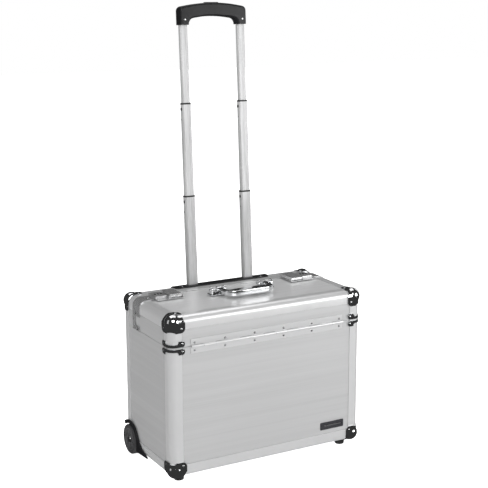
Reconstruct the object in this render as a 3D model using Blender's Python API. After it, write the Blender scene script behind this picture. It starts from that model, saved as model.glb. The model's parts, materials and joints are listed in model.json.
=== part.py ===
"""Aluminium pilot case on two wheels, with a three stage telescopic trolley handle.

The case stands on the floor at z = 0, long side along X. The lid's piano hinge is on the -Y side and
the trolley handle on the +Y side. Lengths are in metres. The lid is shut, the trolley handle is fully
drawn out and the carry handle is folded forward.
"""
import math

import bmesh
import bpy
from mathutils import Matrix, Vector

# Case body
CASE_W = 0.460          # along X
CASE_D = 0.232          # along Y
CASE_H = 0.343          # from the underside to the top
CASE_Y = -0.0130        # the case's middle: the leaning handle reaches out behind it
FLOOR_GAP = 0.015       # feet and wheels hold the underside this high
SEAM_H = 0.278          # hinge line above the underside
PART_D = 0.178          # lid depth, from the front plane to the parting line on top
GAP = 0.0003            # running gap between neighbours

# Edge extrusion and panels
EDGE_R = 0.015          # outer radius of every edge
FLANGE = 0.027          # how far an extrusion covers each face
SKIN = 0.0012           # wall of the extrusion
PANEL_T = 0.003         # sandwich panel
PANEL_IN = SKIN + GAP   # outer face of a panel below the envelope
SLOT_END = EDGE_R + GAP  # where an extrusion's slot starts
LEG_IN = PANEL_IN + PANEL_T + GAP + SKIN  # depth of the extrusion's inner leg
ARC_STEPS = 6

# Chrome corners and braces
CAP_PROUD = 0.0016
CAP_LEG = 0.034
CAP_TIP_R = 0.009
BRACE_H = 0.0125
BRACE_LEG = 0.033

# Piano hinge
HINGE_HALF = 0.183
HINGE_OUT = 0.0023      # axis in front of the front plane
KNUCKLE_R = 0.0026
PIN_R = 0.0012
LEAF_H = 0.015
LEAF_T = 0.0011
KNUCKLES = 13

# Wheels
WHEEL_R = 0.033
WHEEL_W = 0.0245
WHEEL_BACK = 0.008      # tread behind the rear plane
WHEEL_OUT = 0.005       # outer side beyond the end plane
ARCH_R = 0.036
ARCH_T = 0.004
AXLE_R = 0.004

# Telescopic handle, measured along its own leaning axis from the case's top plane
LEAN = math.radians(3.06)
TROLLEY_X = 0.0695
TROLLEY_IN = 0.0140     # axis in front of the rear plane, at the top plane
TUBE_R = 0.004
TUBE_WALL = 0.0009
LOWER_SIZE = (0.0245, 0.0135)
MIDDLE_SIZE = (0.0220, 0.0110)
UPPER_SIZE = (0.0195, 0.0085)
CHANNEL_SIZE = (0.0271, 0.0161)
CHANNEL_DROP = 0.0100   # clear of the rear extrusion's inner rounding
LOWER_SPAN = (-0.138, 0.198)
MIDDLE_SPAN = (0.1085, 0.3984)
UPPER_SPAN = (0.308, 0.590)
GRIP_HALF = 0.080
GRIP_LOW = 0.5648
GRIP_SHOULDER = 0.604
GRIP_CROWN = 0.611
GRIP_DEPTH = 0.025

# Plate over the trolley column, from its front edge over the rear rounding
BEZEL_HALF = 0.1175
BEZEL_IN = 0.032        # front edge in front of the rear plane
BEZEL_H = 0.003
BEZEL_TIP_R = 0.008

# Carry handle and locks
BAIL_HALF = 0.055
BAIL_PIVOT_D = 0.122    # behind the front plane
BAIL_PIVOT_H = 0.0105   # above the top plane
BAIL_REACH = 0.044
ARM_SIZE = (0.0060, 0.0050)
BAR_SIZE = (0.0105, 0.0066)
EYE_HALF = 0.0050
BRACKET_X = 0.058
BRACKET_HALF = 0.0195
CHEEK_R = 0.0072
LOCK_X = 0.150
LOCK_PIVOT_D = 0.136
LOCK_PIVOT_H = 0.005

FRONT_Y = CASE_Y - CASE_D / 2
REAR_Y = CASE_Y + CASE_D / 2
BASE_Z = FLOOR_GAP
TOP_Z = FLOOR_GAP + CASE_H
SEAM_Z = FLOOR_GAP + SEAM_H
PART_Y = FRONT_Y + PART_D
HALF_W = CASE_W / 2
PANEL_EDGE = SLOT_END + GAP
WHEEL_Y = REAR_Y + WHEEL_BACK - WHEEL_R
HOUSING_IN = HALF_W - FLANGE - 2 * GAP
TROLLEY_Y = REAR_Y - TROLLEY_IN
SIDES = (("left", -1), ("right", 1))


def clear_scene():
    for obj in list(bpy.data.objects):
        bpy.data.objects.remove(obj, do_unlink=True)


def material(name, colour, roughness, metallic):
    mat = bpy.data.materials.new(name)
    mat.use_nodes = True
    shader = mat.node_tree.nodes["Principled BSDF"]
    shader.inputs["Base Color"].default_value = (*colour, 1.0)
    shader.inputs["Roughness"].default_value = roughness
    shader.inputs["Metallic"].default_value = metallic
    return mat


def arc(centre_u, centre_v, radius, start, end, steps):
    """Points on a circle from angle start to angle end, in degrees."""
    points = []
    for step in range(steps + 1):
        angle = math.radians(start + (end - start) * step / steps)
        points.append((centre_u + radius * math.cos(angle), centre_v + radius * math.sin(angle)))
    return points


def rounded_rectangle(half_u, half_v, radius, steps=3):
    points = []
    for side_u, side_v, start in ((1, 1, 0), (-1, 1, 90), (-1, -1, 180), (1, -1, 270)):
        points += arc(side_u * (half_u - radius), side_v * (half_v - radius), radius, start, start + 90, steps)
    return points


def in_space(axis, along, u, v):
    """The point at u, v on the plane across an axis, where u and v keep the order X, Y, Z."""
    if axis == "X":
        return Vector((along, u, v))
    if axis == "Y":
        return Vector((u, along, v))
    return Vector((u, v, along))


def finish(bm, name):
    """Turn a bmesh into a linked object with outward normals."""
    bmesh.ops.remove_doubles(bm, verts=bm.verts, dist=1e-6)
    bmesh.ops.recalc_face_normals(bm, faces=bm.faces)
    mesh = bpy.data.meshes.new(name)
    bm.to_mesh(mesh)
    bm.free()
    obj = bpy.data.objects.new(name, mesh)
    bpy.context.scene.collection.objects.link(obj)
    return obj


def prism(name, outline, axis, low, high):
    """Extrude a closed outline from low to high along an axis."""
    bm = bmesh.new()
    face = bm.faces.new([bm.verts.new(in_space(axis, low, u, v)) for u, v in outline])
    grown = bmesh.ops.extrude_face_region(bm, geom=[face])
    moved = [item for item in grown["geom"] if isinstance(item, bmesh.types.BMVert)]
    bmesh.ops.translate(bm, verts=moved, vec=in_space(axis, high - low, 0.0, 0.0))
    return finish(bm, name)


def box(name, low, high):
    outline = [(low[0], low[1]), (high[0], low[1]), (high[0], high[1]), (low[0], high[1])]
    return prism(name, outline, "Z", low[2], high[2])


def ring_prism(name, outer, inner, low, high):
    """A straight tube between two outlines with the same number of points, along Z."""
    bm = bmesh.new()
    loops = []
    for outline, level in ((outer, low), (outer, high), (inner, high), (inner, low)):
        loops.append([bm.verts.new((u, v, level)) for u, v in outline])
    count = len(outer)
    for index in range(4):
        here = loops[index]
        there = loops[(index + 1) % 4]
        for point in range(count):
            after = (point + 1) % count
            bm.faces.new((here[point], here[after], there[after], there[point]))
    return finish(bm, name)


def lathe(name, profile, centre, segments=32):
    """Turn a closed profile of (radius, x) points round the X axis through centre."""
    bm = bmesh.new()
    rings = []
    for segment in range(segments):
        angle = 2 * math.pi * segment / segments
        ring = []
        for radius, along in profile:
            ring.append(bm.verts.new((centre[0] + along,
                                      centre[1] + radius * math.cos(angle),
                                      centre[2] + radius * math.sin(angle))))
        rings.append(ring)
    count = len(profile)
    for segment in range(segments):
        here = rings[segment]
        there = rings[(segment + 1) % segments]
        for point in range(count):
            after = (point + 1) % count
            if profile[point][0] > 0 or profile[after][0] > 0:
                bm.faces.new((here[point], here[after], there[after], there[point]))
    return finish(bm, name)


def cylinder(name, axis, radius, centre_u, centre_v, low, high, steps=24):
    return prism(name, arc(centre_u, centre_v, radius, 0, 360, steps)[:-1], axis, low, high)


def combine(target, operand, operation):
    """Apply a Boolean of the operand to the target and remove the operand."""
    modifier = target.modifiers.new(operation.title(), "BOOLEAN")
    modifier.operation = operation
    modifier.object = operand
    bpy.context.view_layer.update()
    graph = bpy.context.evaluated_depsgraph_get()
    result = bpy.data.meshes.new_from_object(target.evaluated_get(graph))
    target.modifiers.clear()
    before = target.data
    target.data = result
    bpy.data.meshes.remove(before)
    used = operand.data
    bpy.data.objects.remove(operand)
    bpy.data.meshes.remove(used)


def join(target, *operands):
    for operand in operands:
        combine(target, operand, "UNION")
    return target


def cut(target, *operands):
    for operand in operands:
        combine(target, operand, "DIFFERENCE")
    return target


def bevel_edges(obj, width, segments, wanted):
    """Round the edges for which wanted(first, second) is true of their two end points."""
    bm = bmesh.new()
    bm.from_mesh(obj.data)
    edges = [edge for edge in bm.edges if wanted(edge.verts[0].co, edge.verts[1].co)]
    bmesh.ops.bevel(bm, geom=edges, offset=width, segments=segments, profile=0.5, affect="EDGES",
                    clamp_overlap=True)
    bm.to_mesh(obj.data)
    bm.free()
    return obj


def dress(obj, mat, sharp_degrees=32):
    """Give a piece its material and smooth its round stretches."""
    obj.data.materials.clear()
    obj.data.materials.append(mat)
    obj.data.shade_smooth()
    obj.data.set_sharp_from_angle(angle=math.radians(sharp_degrees))
    return obj


def set_origin(obj, point):
    """Put a moving piece's origin on its joint's axis, leaving the piece where it is."""
    obj.data.transform(Matrix.Translation(-Vector(point)))
    obj.location = point
    return obj


# ---------------------------------------------------------------- frame and panels

def edge_profile():
    """Section of the edge extrusion, as depths below the two faces it joins."""
    slot = LEG_IN - SKIN
    fillet = 0.004
    outline = [(0.0, FLANGE)]
    outline += arc(EDGE_R, EDGE_R, EDGE_R, 180, 270, ARC_STEPS)
    outline += [(FLANGE, 0.0), (FLANGE, SKIN), (SLOT_END, SKIN), (SLOT_END, slot), (FLANGE, slot)]
    outline += [(FLANGE, LEG_IN)]
    outline += arc(LEG_IN + fillet, LEG_IN + fillet, fillet, 270, 180, 2)
    outline += [(LEG_IN, FLANGE), (slot, FLANGE), (slot, SLOT_END), (SKIN, SLOT_END), (SKIN, FLANGE)]
    return outline


def bent_path(depth, bend_z, end_z):
    """The line of a U-shaped frame at a depth inside its outer edge, as x and z."""
    up = 1 if end_z > bend_z else -1
    reach = max(EDGE_R - depth, 0.0)
    inner = max(depth, EDGE_R)
    points = [(depth - HALF_W, end_z)]
    for side, start, end in ((-1, 0, 90), (1, 90, 0)):
        for swing, rise in arc(0.0, 0.0, reach, start, end, ARC_STEPS):
            points.append((side * (HALF_W - inner + swing), bend_z + up * (inner - rise)))
    points.append((HALF_W - depth, end_z))
    return points


def bent_frame(name, face_y, inward, bend_z, end_z, mat):
    """One extrusion bent round two corners, behind the face at face_y."""
    bm = bmesh.new()
    lines = []
    for depth, from_face in edge_profile():
        line = []
        for x, z in bent_path(depth, bend_z, end_z):
            line.append(bm.verts.new((x, face_y + inward * from_face, z)))
        lines.append(line)
    stations = len(lines[0])
    for index, line in enumerate(lines):
        beside = lines[(index + 1) % len(lines)]
        for station in range(stations - 1):
            bm.faces.new((line[station], line[station + 1], beside[station + 1], beside[station]))
    bm.faces.new([line[0] for line in lines])
    bm.faces.new([line[-1] for line in lines])
    return dress(finish(bm, name), mat)


def rail(name, axis, corner, inward, low, high, mat):
    """A straight extrusion along an axis; corner is where its two faces meet."""
    outline = [(corner[0] + inward[0] * u, corner[1] + inward[1] * v) for u, v in edge_profile()]
    return dress(prism(name, outline, axis, low, high), mat)


def housing_cutter(side, spare):
    """The room that a wheel housing takes out of a lower rear corner."""
    inner = side * (HOUSING_IN - spare)
    outer = side * (HALF_W + 0.02)
    low, high = min(inner, outer), max(inner, outer)
    radius = ARCH_R + ARCH_T + spare
    drum = cylinder("drum_cutter", "X", radius, WHEEL_Y, WHEEL_R, low, high, 48)
    well = box("well_cutter", (low, WHEEL_Y - radius, -0.01), (high, REAR_Y + 0.02, WHEEL_R))
    return join(drum, well)


def tube_cutter(side, spare):
    """The leaning hole that a trolley tube passes through."""
    outline = rounded_rectangle(LOWER_SIZE[0] / 2 + spare, LOWER_SIZE[1] / 2 + spare, TUBE_R)
    cutter = prism("tube_cutter", outline, "Z", -0.03, 0.03)
    lean = Matrix.Rotation(-LEAN, 4, "X")
    cutter.data.transform(Matrix.Translation((side * TROLLEY_X, TROLLEY_Y, TOP_Z)) @ lean)
    return cutter


def body_frames(mat):
    bent_frame("frame_front", FRONT_Y, 1, BASE_Z, SEAM_Z - GAP, mat)
    rear = bent_frame("frame_rear", REAR_Y, -1, TOP_Z, BASE_Z + EDGE_R, mat)
    for side_name, side in SIDES:
        cut(rear, housing_cutter(side, GAP), tube_cutter(side, 2 * GAP))
        start = FRONT_Y + FLANGE + GAP
        lower = rail("rail_bottom_" + side_name, "Y", (side * HALF_W, BASE_Z), (-side, 1), start, WHEEL_Y, mat)
        cut(lower, housing_cutter(side, GAP))
        dress(lower, mat)
    dress(rear, mat)
    half = HOUSING_IN - GAP
    rail("rail_bottom_rear", "X", (REAR_Y, BASE_Z), (-1, 1), -half, half, mat)


def body_panels(mat, inner_mat):
    half = HALF_W - PANEL_EDGE
    front = FRONT_Y + PANEL_EDGE
    rear = REAR_Y - PANEL_EDGE
    low = BASE_Z + PANEL_EDGE
    high = TOP_Z - PANEL_EDGE
    seam = SEAM_Z - GAP
    face = PANEL_IN
    back = PANEL_IN + PANEL_T
    dress(box("panel_front", (-half, FRONT_Y + face, low), (half, FRONT_Y + back, seam)), mat)
    rear_panel = box("panel_rear", (-half, REAR_Y - back, low), (half, REAR_Y - face, high))
    bottom = box("panel_bottom", (-half, front, BASE_Z + face), (half, rear, BASE_Z + back))
    for side_name, side in SIDES:
        outline = [(front, low), (rear, low), (rear, high), (PART_Y + GAP, high), (PART_Y + GAP, seam)]
        outline.append((front, seam))
        faces = sorted((side * (HALF_W - face), side * (HALF_W - back)))
        end = prism("panel_" + side_name, outline, "X", *faces)
        cut(end, housing_cutter(side, GAP))
        dress(end, mat)
        cut(rear_panel, housing_cutter(side, GAP))
        cut(bottom, housing_cutter(side, GAP))
    dress(rear_panel, mat)
    dress(bottom, mat)
    wall_front = PART_Y - 0.0057
    floor = BASE_Z + LEG_IN + GAP
    wall_half = HALF_W - 0.0075
    partition = box("trolley_partition", (-wall_half, wall_front, floor),
                    (wall_half, wall_front + PANEL_T, TOP_Z - 0.0105))
    cut(partition, housing_cutter(-1, 2 * GAP), housing_cutter(1, 2 * GAP))
    dress(partition, inner_mat)


def wrap_outline(proud, reach_top, reach_side):
    """Outline, in x and z, of a strip that wraps over both upper side edges of the case."""
    outline = []
    for offset, order in ((proud, 1), (proud - SKIN, -1)):
        radius = EDGE_R + offset
        line = [(reach_side[0] - HALF_W - offset, TOP_Z - reach_side[1])]
        line += [(u - HALF_W, v) for u, v in arc(EDGE_R, TOP_Z - EDGE_R, radius, 180, 90, ARC_STEPS)]
        if reach_top is not None:
            line.append((reach_top - HALF_W, TOP_Z + offset))
        else:
            line += [(-x, z) for x, z in reversed(line)]
        outline += line[::order]
    return outline


def column_cap(mat):
    """The sheet that closes the trolley column on top, with the two lock strikes on it."""
    low = PART_Y + GAP
    high = REAR_Y - FLANGE - GAP
    cap = prism("column_cap", wrap_outline(0.0, None, (0.0, FLANGE)), "Y", low, high)
    for _, side in SIDES:
        middle = side * LOCK_X
        strike = box("strike", (middle - 0.009, low + 0.0012, TOP_Z - SKIN / 2),
                     (middle + 0.009, low + 0.0068, TOP_Z + 0.0028))
        join(cap, strike)
    dress(cap, mat)


# ---------------------------------------------------------------- chrome corners

def octant_block(name, near, far, near_r, tip_r):
    """A block whose three edges at the near corner are rounded, and its far edges if tip_r is set."""
    block = box(name, (near,) * 3, (far,) * 3)

    def edge_at(level):
        def wanted(first, second):
            same = [abs(first[k] - level) < 1e-6 and abs(second[k] - level) < 1e-6 for k in range(3)]
            return sum(same) == 2
        return wanted

    if tip_r:
        bevel_edges(block, tip_r, 3, edge_at(far))
    bevel_edges(block, near_r, ARC_STEPS, edge_at(near))
    return block


def corner_cap(name, corner, inward, mat):
    """A pressed corner: three legs joined by a ball, outside the envelope's corner."""
    shell = octant_block(name, -CAP_PROUD, CAP_LEG, EDGE_R + CAP_PROUD, CAP_TIP_R)
    hollow = octant_block("hollow", -GAP, 2 * CAP_LEG, EDGE_R + GAP, None)
    cut(shell, hollow)
    turn = Matrix.Translation(corner) @ Matrix.Diagonal((*inward, 1.0))
    shell.data.transform(turn)
    if inward[0] * inward[1] * inward[2] < 0:
        shell.data.flip_normals()
    return dress(shell, mat, 40)


def corners(mat):
    for side_name, side in SIDES:
        x = side * HALF_W
        corner_cap("corner_bottom_" + side_name, (x, FRONT_Y, BASE_Z), (-side, 1, 1), mat)
        corner_cap("corner_rear_" + side_name, (x, REAR_Y, TOP_Z), (-side, -1, -1), mat)
        corner_cap("lid_corner_front_" + side_name, (x, FRONT_Y, TOP_Z), (-side, 1, -1), mat)
        lid_corner_rear("lid_corner_rear_" + side_name, side, mat)
        brace("brace_body_" + side_name, side, SEAM_Z - 0.008, mat)
        brace("brace_lid_" + side_name, side, SEAM_Z + 0.008, mat)


def lid_corner_rear(name, side, mat):
    """Trim over the lid's rear edge end: a strip round the edge and an L down to the seam."""
    rear = PART_Y - GAP
    front = rear - CAP_LEG
    outline = wrap_outline(CAP_PROUD, CAP_LEG, (0.0, CAP_LEG))
    outline = [(-side * x, z) for x, z in outline]
    strip = prism(name, outline, "Y", front, rear)
    faces = sorted((side * (HALF_W + CAP_PROUD - SKIN), side * (HALF_W + CAP_PROUD)))
    foot = SEAM_Z + 2 * GAP
    leg_w = 0.008
    angle_outline = [(front + 0.003, foot), (rear, foot), (rear, TOP_Z - 0.03), (rear - leg_w, TOP_Z - 0.03)]
    angle_outline += [(rear - leg_w, foot + leg_w), (front + 0.003, foot + leg_w)]
    join(strip, prism("angle", angle_outline, "X", *faces))
    return dress(strip, mat, 40)


def brace(name, side, middle_z, mat):
    """A strap bent round a front post beside the hinge line."""
    outline = []
    for offset, order in ((CAP_PROUD, 1), (CAP_PROUD - SKIN, -1)):
        line = [(BRACE_LEG, -offset)]
        line += arc(EDGE_R, EDGE_R, EDGE_R + offset, 270, 180, ARC_STEPS)
        line.append((-offset, BRACE_LEG))
        outline += line[::order]
    outline = [(side * (HALF_W - u), FRONT_Y + v) for u, v in outline]
    strap = prism(name, outline, "Z", middle_z - BRACE_H / 2, middle_z + BRACE_H / 2)

    def tip(first, second):
        upright = abs(first.z - second.z) < 1e-6
        short = (first - second).length < 2 * SKIN
        at_front = min(abs(abs(p.x) - (HALF_W - BRACE_LEG)) for p in (first, second)) < 1e-5
        at_end = min(abs(p.y - (FRONT_Y + BRACE_LEG)) for p in (first, second)) < 1e-5
        return upright and short and (at_front or at_end)

    bevel_edges(strap, BRACE_H * 0.45, 4, tip)
    return dress(strap, mat, 40)


# ---------------------------------------------------------------- lid

def lid(mat):
    half = HALF_W - PANEL_EDGE
    front = FRONT_Y + PANEL_EDGE
    rear = PART_Y - GAP
    seam = SEAM_Z + GAP
    high = TOP_Z - PANEL_EDGE
    face = PANEL_IN
    back = PANEL_IN + PANEL_T
    dress(box("lid_panel_top", (-half, front, TOP_Z - back), (half, rear, TOP_Z - face)), mat)
    dress(box("lid_panel_front", (-half, FRONT_Y + face, seam), (half, FRONT_Y + back, high)), mat)
    bent_frame("lid_frame", FRONT_Y, 1, TOP_Z, seam, mat)
    for side_name, side in SIDES:
        faces = sorted((side * (HALF_W - face), side * (HALF_W - back)))
        dress(box("lid_panel_" + side_name, (faces[0], front, seam), (faces[1], rear, high)), mat)
        start = FRONT_Y + FLANGE + GAP
        rail("lid_rail_" + side_name, "Y", (side * HALF_W, TOP_Z), (-side, -1), start, rear, mat)


def hinge(mat, pin_mat):
    """Piano hinge: two leaves with alternating knuckles on one pin."""
    axis_y = FRONT_Y - HINGE_OUT
    leaf_back = FRONT_Y + PANEL_IN - GAP
    pitch = 2 * HINGE_HALF / KNUCKLES
    for name, up, first in (("hinge_leaf_body", -1, 0), ("hinge_leaf_lid", 1, 1)):
        near = SEAM_Z + up * (KNUCKLE_R + 0.0004)
        far = SEAM_Z + up * LEAF_H
        low, high = min(near, far), max(near, far)
        leaf = box(name, (-HINGE_HALF, leaf_back - LEAF_T, low), (HINGE_HALF, leaf_back, high))
        for index in range(first, KNUCKLES, 2):
            start = -HINGE_HALF + index * pitch + GAP
            end = start + pitch - 2 * GAP
            reach = SEAM_Z + up * 0.0005
            tab = box("tab", (start, leaf_back - LEAF_T, min(near + up * 0.001, reach)),
                      (end, leaf_back, max(near + up * 0.001, reach)))
            knuckle = cylinder("knuckle", "X", KNUCKLE_R, axis_y, SEAM_Z, start, end, 14)
            join(leaf, join(tab, knuckle))
        bore = cylinder("bore", "X", PIN_R + GAP, axis_y, SEAM_Z, -HINGE_HALF - 0.01, HINGE_HALF + 0.01, 10)
        cut(leaf, bore)
        if up > 0:
            set_origin(leaf, (0.0, axis_y, SEAM_Z))
        dress(leaf, mat)
    pin = cylinder("hinge_pin", "X", PIN_R, axis_y, SEAM_Z, -HINGE_HALF - 0.001, HINGE_HALF + 0.001, 10)
    dress(pin, pin_mat)


# ---------------------------------------------------------------- wheels and feet

def tail_outline():
    """The pointed skid that runs forward from the wheel arch along the case's lower edge."""
    tail = 0.088
    root = -ARCH_R - ARCH_T / 2
    floor = BASE_Z + 0.001 - WHEEL_R
    outline = [(root, floor), (root - tail * 0.6, floor + 0.003), (-tail, floor + 0.006)]
    for step in range(1, 7):
        share = step / 6
        outline.append((-tail + (tail + root - 0.004) * share, floor + 0.008 + 0.024 * share ** 2.2))
    outline.append((root, floor + 0.034))
    return [(WHEEL_Y + u, WHEEL_R + v) for u, v in outline]


def arch_outline(inner_r, outer_r, end_degrees):
    """A wheel arch from its front foot, over the top, to the rear plane."""
    foot = BASE_Z - WHEEL_R
    outline = [(-outer_r, foot)] + arc(0.0, 0.0, outer_r, 180, end_degrees, 18)
    outline += arc(0.0, 0.0, inner_r, end_degrees, 180, 18) + [(-inner_r, foot)]
    return [(WHEEL_Y + u, WHEEL_R + v) for u, v in outline]


def wheel_station(side_name, side, plastic, rubber, steel):
    """Moulded housing, axle and wheel at one lower rear corner."""
    rear_reach = REAR_Y - WHEEL_Y
    end = math.degrees(math.acos(rear_reach / (ARCH_R + ARCH_T)))
    inner_faces = sorted((side * HOUSING_IN, side * (HOUSING_IN + 0.003)))
    wall_outline = [(-ARCH_R - ARCH_T, BASE_Z - WHEEL_R)]
    wall_outline += arc(0.0, 0.0, ARCH_R + ARCH_T, 180, end, 18)
    wall_outline += [(rear_reach, BASE_Z - WHEEL_R)]
    wall_outline = [(WHEEL_Y + u, WHEEL_R + v) for u, v in wall_outline]
    housing = prism("wheel_housing_" + side_name, wall_outline, "X", *inner_faces)
    rim_in = HALF_W + GAP
    band = sorted((side * (HOUSING_IN + 0.001), side * (rim_in + 0.001)))
    rim = sorted((side * rim_in, side * (rim_in + 0.003)))
    join(housing, prism("band", arch_outline(ARCH_R, ARCH_R + ARCH_T, end), "X", *band))
    lip = prism("lip", arch_outline(ARCH_R, ARCH_R + ARCH_T + 0.0035, end), "X", *rim)
    join(lip, prism("tail", tail_outline(), "X", *rim))
    join(housing, lip)
    dress(housing, plastic)

    centre = (side * (HALF_W + WHEEL_OUT - WHEEL_W / 2), WHEEL_Y, WHEEL_R)
    half = WHEEL_W / 2
    bore = AXLE_R + 2 * GAP
    tread = 0.0035
    dish_r = WHEEL_R * 0.66
    dish = 0.0022
    profile = [(bore, -half + dish), (dish_r, -half + dish), (dish_r + 0.001, -half)]
    profile += arc(WHEEL_R - tread, -half + tread, tread, 270, 360, 3)
    profile += arc(WHEEL_R - tread, half - tread, tread, 0, 90, 3)
    profile += [(dish_r + 0.001, half), (dish_r, half - dish), (bore, half - dish)]
    if side < 0:
        profile = [(radius, -along) for radius, along in reversed(profile)]
    wheel = lathe("wheel_" + side_name, profile, centre, 40)
    dress(set_origin(wheel, centre), rubber)

    inside = side * (HOUSING_IN + 0.003 + GAP) - centre[0]
    head = side * (half - dish + GAP)
    shaft = [(0.0, inside), (AXLE_R, inside), (AXLE_R, head), (0.0075, head), (0.0065, head + side * 0.0022)]
    shaft.append((0.0, head + side * 0.0025))
    dress(lathe("axle_" + side_name, shaft, centre, 20), steel)


def foot(side_name, side, rubber):
    """Round rubber foot screwed through the lower front corner's bottom leg."""
    inset = 0.030
    height = BASE_Z - CAP_PROUD - GAP
    profile = [(0.0, 0.0)] + arc(0.0085, 0.002, 0.002, 270, 350, 3) + [(0.0115, height), (0.0, height)]
    bm = bmesh.new()
    x, y = side * (HALF_W - inset), FRONT_Y + inset
    line = [bm.verts.new((x + radius, y, level)) for radius, level in profile]
    edges = [bm.edges.new(pair) for pair in zip(line, line[1:])]
    bmesh.ops.spin(bm, geom=line + edges, cent=(x, y, 0.0), axis=(0, 0, 1), angle=2 * math.pi, steps=24,
                   use_merge=True)
    dress(finish(bm, "foot_" + side_name), rubber)


# ---------------------------------------------------------------- trolley handle

def lean_piece(obj, x=0.0):
    """Stand a piece that was made along Z on the handle's leaning axis."""
    obj.location = (x, TROLLEY_Y, TOP_Z)
    obj.rotation_euler = (-LEAN, 0.0, 0.0)
    return obj


def tube(name, side, size, span, mat):
    half_u, half_v = size[0] / 2, size[1] / 2
    outer = rounded_rectangle(half_u, half_v, TUBE_R)
    inner = rounded_rectangle(half_u - TUBE_WALL, half_v - TUBE_WALL, TUBE_R - TUBE_WALL)
    piece = ring_prism(name, outer, inner, *span)
    return dress(lean_piece(piece, side * TROLLEY_X), mat)


def trolley(aluminium, plastic, button_mat):
    channel_span = (-(CASE_H - LEG_IN - 3 * GAP) / math.cos(LEAN), -CHANNEL_DROP)
    for side_name, side in SIDES:
        tube("trolley_channel_" + side_name, side, CHANNEL_SIZE, channel_span, aluminium)
        tube("tube_lower_" + side_name, side, LOWER_SIZE, LOWER_SPAN, aluminium)
        tube("tube_middle_" + side_name, side, MIDDLE_SIZE, MIDDLE_SPAN, aluminium)
        tube("tube_upper_" + side_name, side, UPPER_SIZE, UPPER_SPAN, aluminium)
    grip(plastic, button_mat)
    bezel(plastic)


def crown(x, middle, edge, half):
    """Height of an arched line at x, from its middle down to its edge."""
    return middle + (edge - middle) * (x / half) ** 2


def grip(plastic, button_mat):
    """Arched hand grip with a socket for each upper tube and a release button on top."""
    inner_x = TROLLEY_X - 0.0105
    corner = 0.010
    steps = 10
    outline = [(-GRIP_HALF, GRIP_LOW)]
    outline += arc(corner - GRIP_HALF, GRIP_SHOULDER - corner, corner, 180, 96, 4)
    flat_half = GRIP_HALF - corner
    for step in range(1, steps):
        x = flat_half * (2 * step / steps - 1)
        outline.append((x, crown(x, GRIP_CROWN, GRIP_SHOULDER, flat_half)))
    outline += arc(GRIP_HALF - corner, GRIP_SHOULDER - corner, corner, 84, 0, 4)
    outline += [(GRIP_HALF, GRIP_LOW), (inner_x, GRIP_LOW)]
    under = GRIP_CROWN - 0.028
    small = 0.0135
    outline += arc(inner_x - small, under - 0.004 - small, small, 0, 84, 5)
    for step in range(1, steps):
        x = (inner_x - small) * (1 - 2 * step / steps)
        outline.append((x, crown(x, under, under - 0.004, inner_x - small)))
    outline += arc(small - inner_x, under - 0.004 - small, small, 96, 180, 5)
    outline.append((-inner_x, GRIP_LOW))
    half = GRIP_DEPTH / 2
    body = prism("trolley_grip", outline, "Y", -half, half)

    def outline_edge(first, second):
        return abs(first.y - second.y) < 1e-6 and not (first.z < GRIP_LOW + 1e-6 and second.z < GRIP_LOW + 1e-6)

    bevel_edges(body, 0.0045, 3, outline_edge)
    for _, side in SIDES:
        section = rounded_rectangle(UPPER_SIZE[0] / 2 + GAP, UPPER_SIZE[1] / 2 + GAP, TUBE_R)
        section = [(u + side * TROLLEY_X, v) for u, v in section]
        cut(body, prism("socket", section, "Z", GRIP_LOW - 0.01, UPPER_SPAN[1] + GAP))
    button_u, button_v = 0.017, 0.006
    floor = GRIP_CROWN - 0.009
    play = 0.0004
    pocket = rounded_rectangle(button_u + play, button_v + play, 0.0055)
    cut(body, prism("pocket", pocket, "Z", floor, GRIP_CROWN + 0.01))
    dress(lean_piece(body), plastic)
    low = floor + 0.0045
    button = prism("grip_button", rounded_rectangle(button_u, button_v, 0.005), "Z", low, GRIP_CROWN + 0.0012)

    def top_edge(first, second):
        return min(first.z, second.z) > GRIP_CROWN
    bevel_edges(button, 0.0015, 2, top_edge)
    dress(lean_piece(button), button_mat)


def bezel(plastic):
    """Long plastic plate that the tubes come out of, bent down over the case's rounded rear edge."""
    front = REAR_Y - BEZEL_IN
    centre = (REAR_Y - EDGE_R, TOP_Z - EDGE_R)
    outline = [(front, TOP_Z + GAP), (front, TOP_Z + BEZEL_H)]
    outline += arc(*centre, EDGE_R + BEZEL_H, 90, 38, 8)
    outline += arc(*centre, EDGE_R + GAP, 38, 90, 8)
    plate = prism("trolley_bezel", outline, "X", -BEZEL_HALF, BEZEL_HALF)

    def front_corner(first, second):
        return abs(first.z - second.z) > GAP and max(first.y, second.y) < front + GAP
    bevel_edges(plate, BEZEL_TIP_R, 5, front_corner)
    for _, side in SIDES:
        cut(plate, tube_cutter(side, GAP))
    dress(plate, plastic)


# ---------------------------------------------------------------- carry handle and locks

def bail_sections():
    """Centre, direction, half width and half height of each section of the folded carry handle."""
    pivot_y = FRONT_Y + BAIL_PIVOT_D
    pivot_z = TOP_Z + BAIL_PIVOT_H
    bend = 0.020
    front_y = pivot_y - BAIL_REACH
    sections = []
    sections.append(((-BAIL_HALF, pivot_y - 0.002, pivot_z), 270, *ARM_SIZE))
    for step in range(6):
        share = step / 5
        angle = 180 + 90 * share
        x = bend - BAIL_HALF + bend * math.cos(math.radians(angle))
        y = front_y + bend + bend * math.sin(math.radians(angle))
        blend = share ** 2
        size = [a + (b - a) * blend for a, b in zip(ARM_SIZE, BAR_SIZE)]
        sections.append(((x, y, pivot_z), 270 + 90 * share, *size))
    mirrored = [((-c[0], c[1], c[2]), -turn, w, h) for c, turn, w, h in reversed(sections)]
    return sections + mirrored


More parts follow.
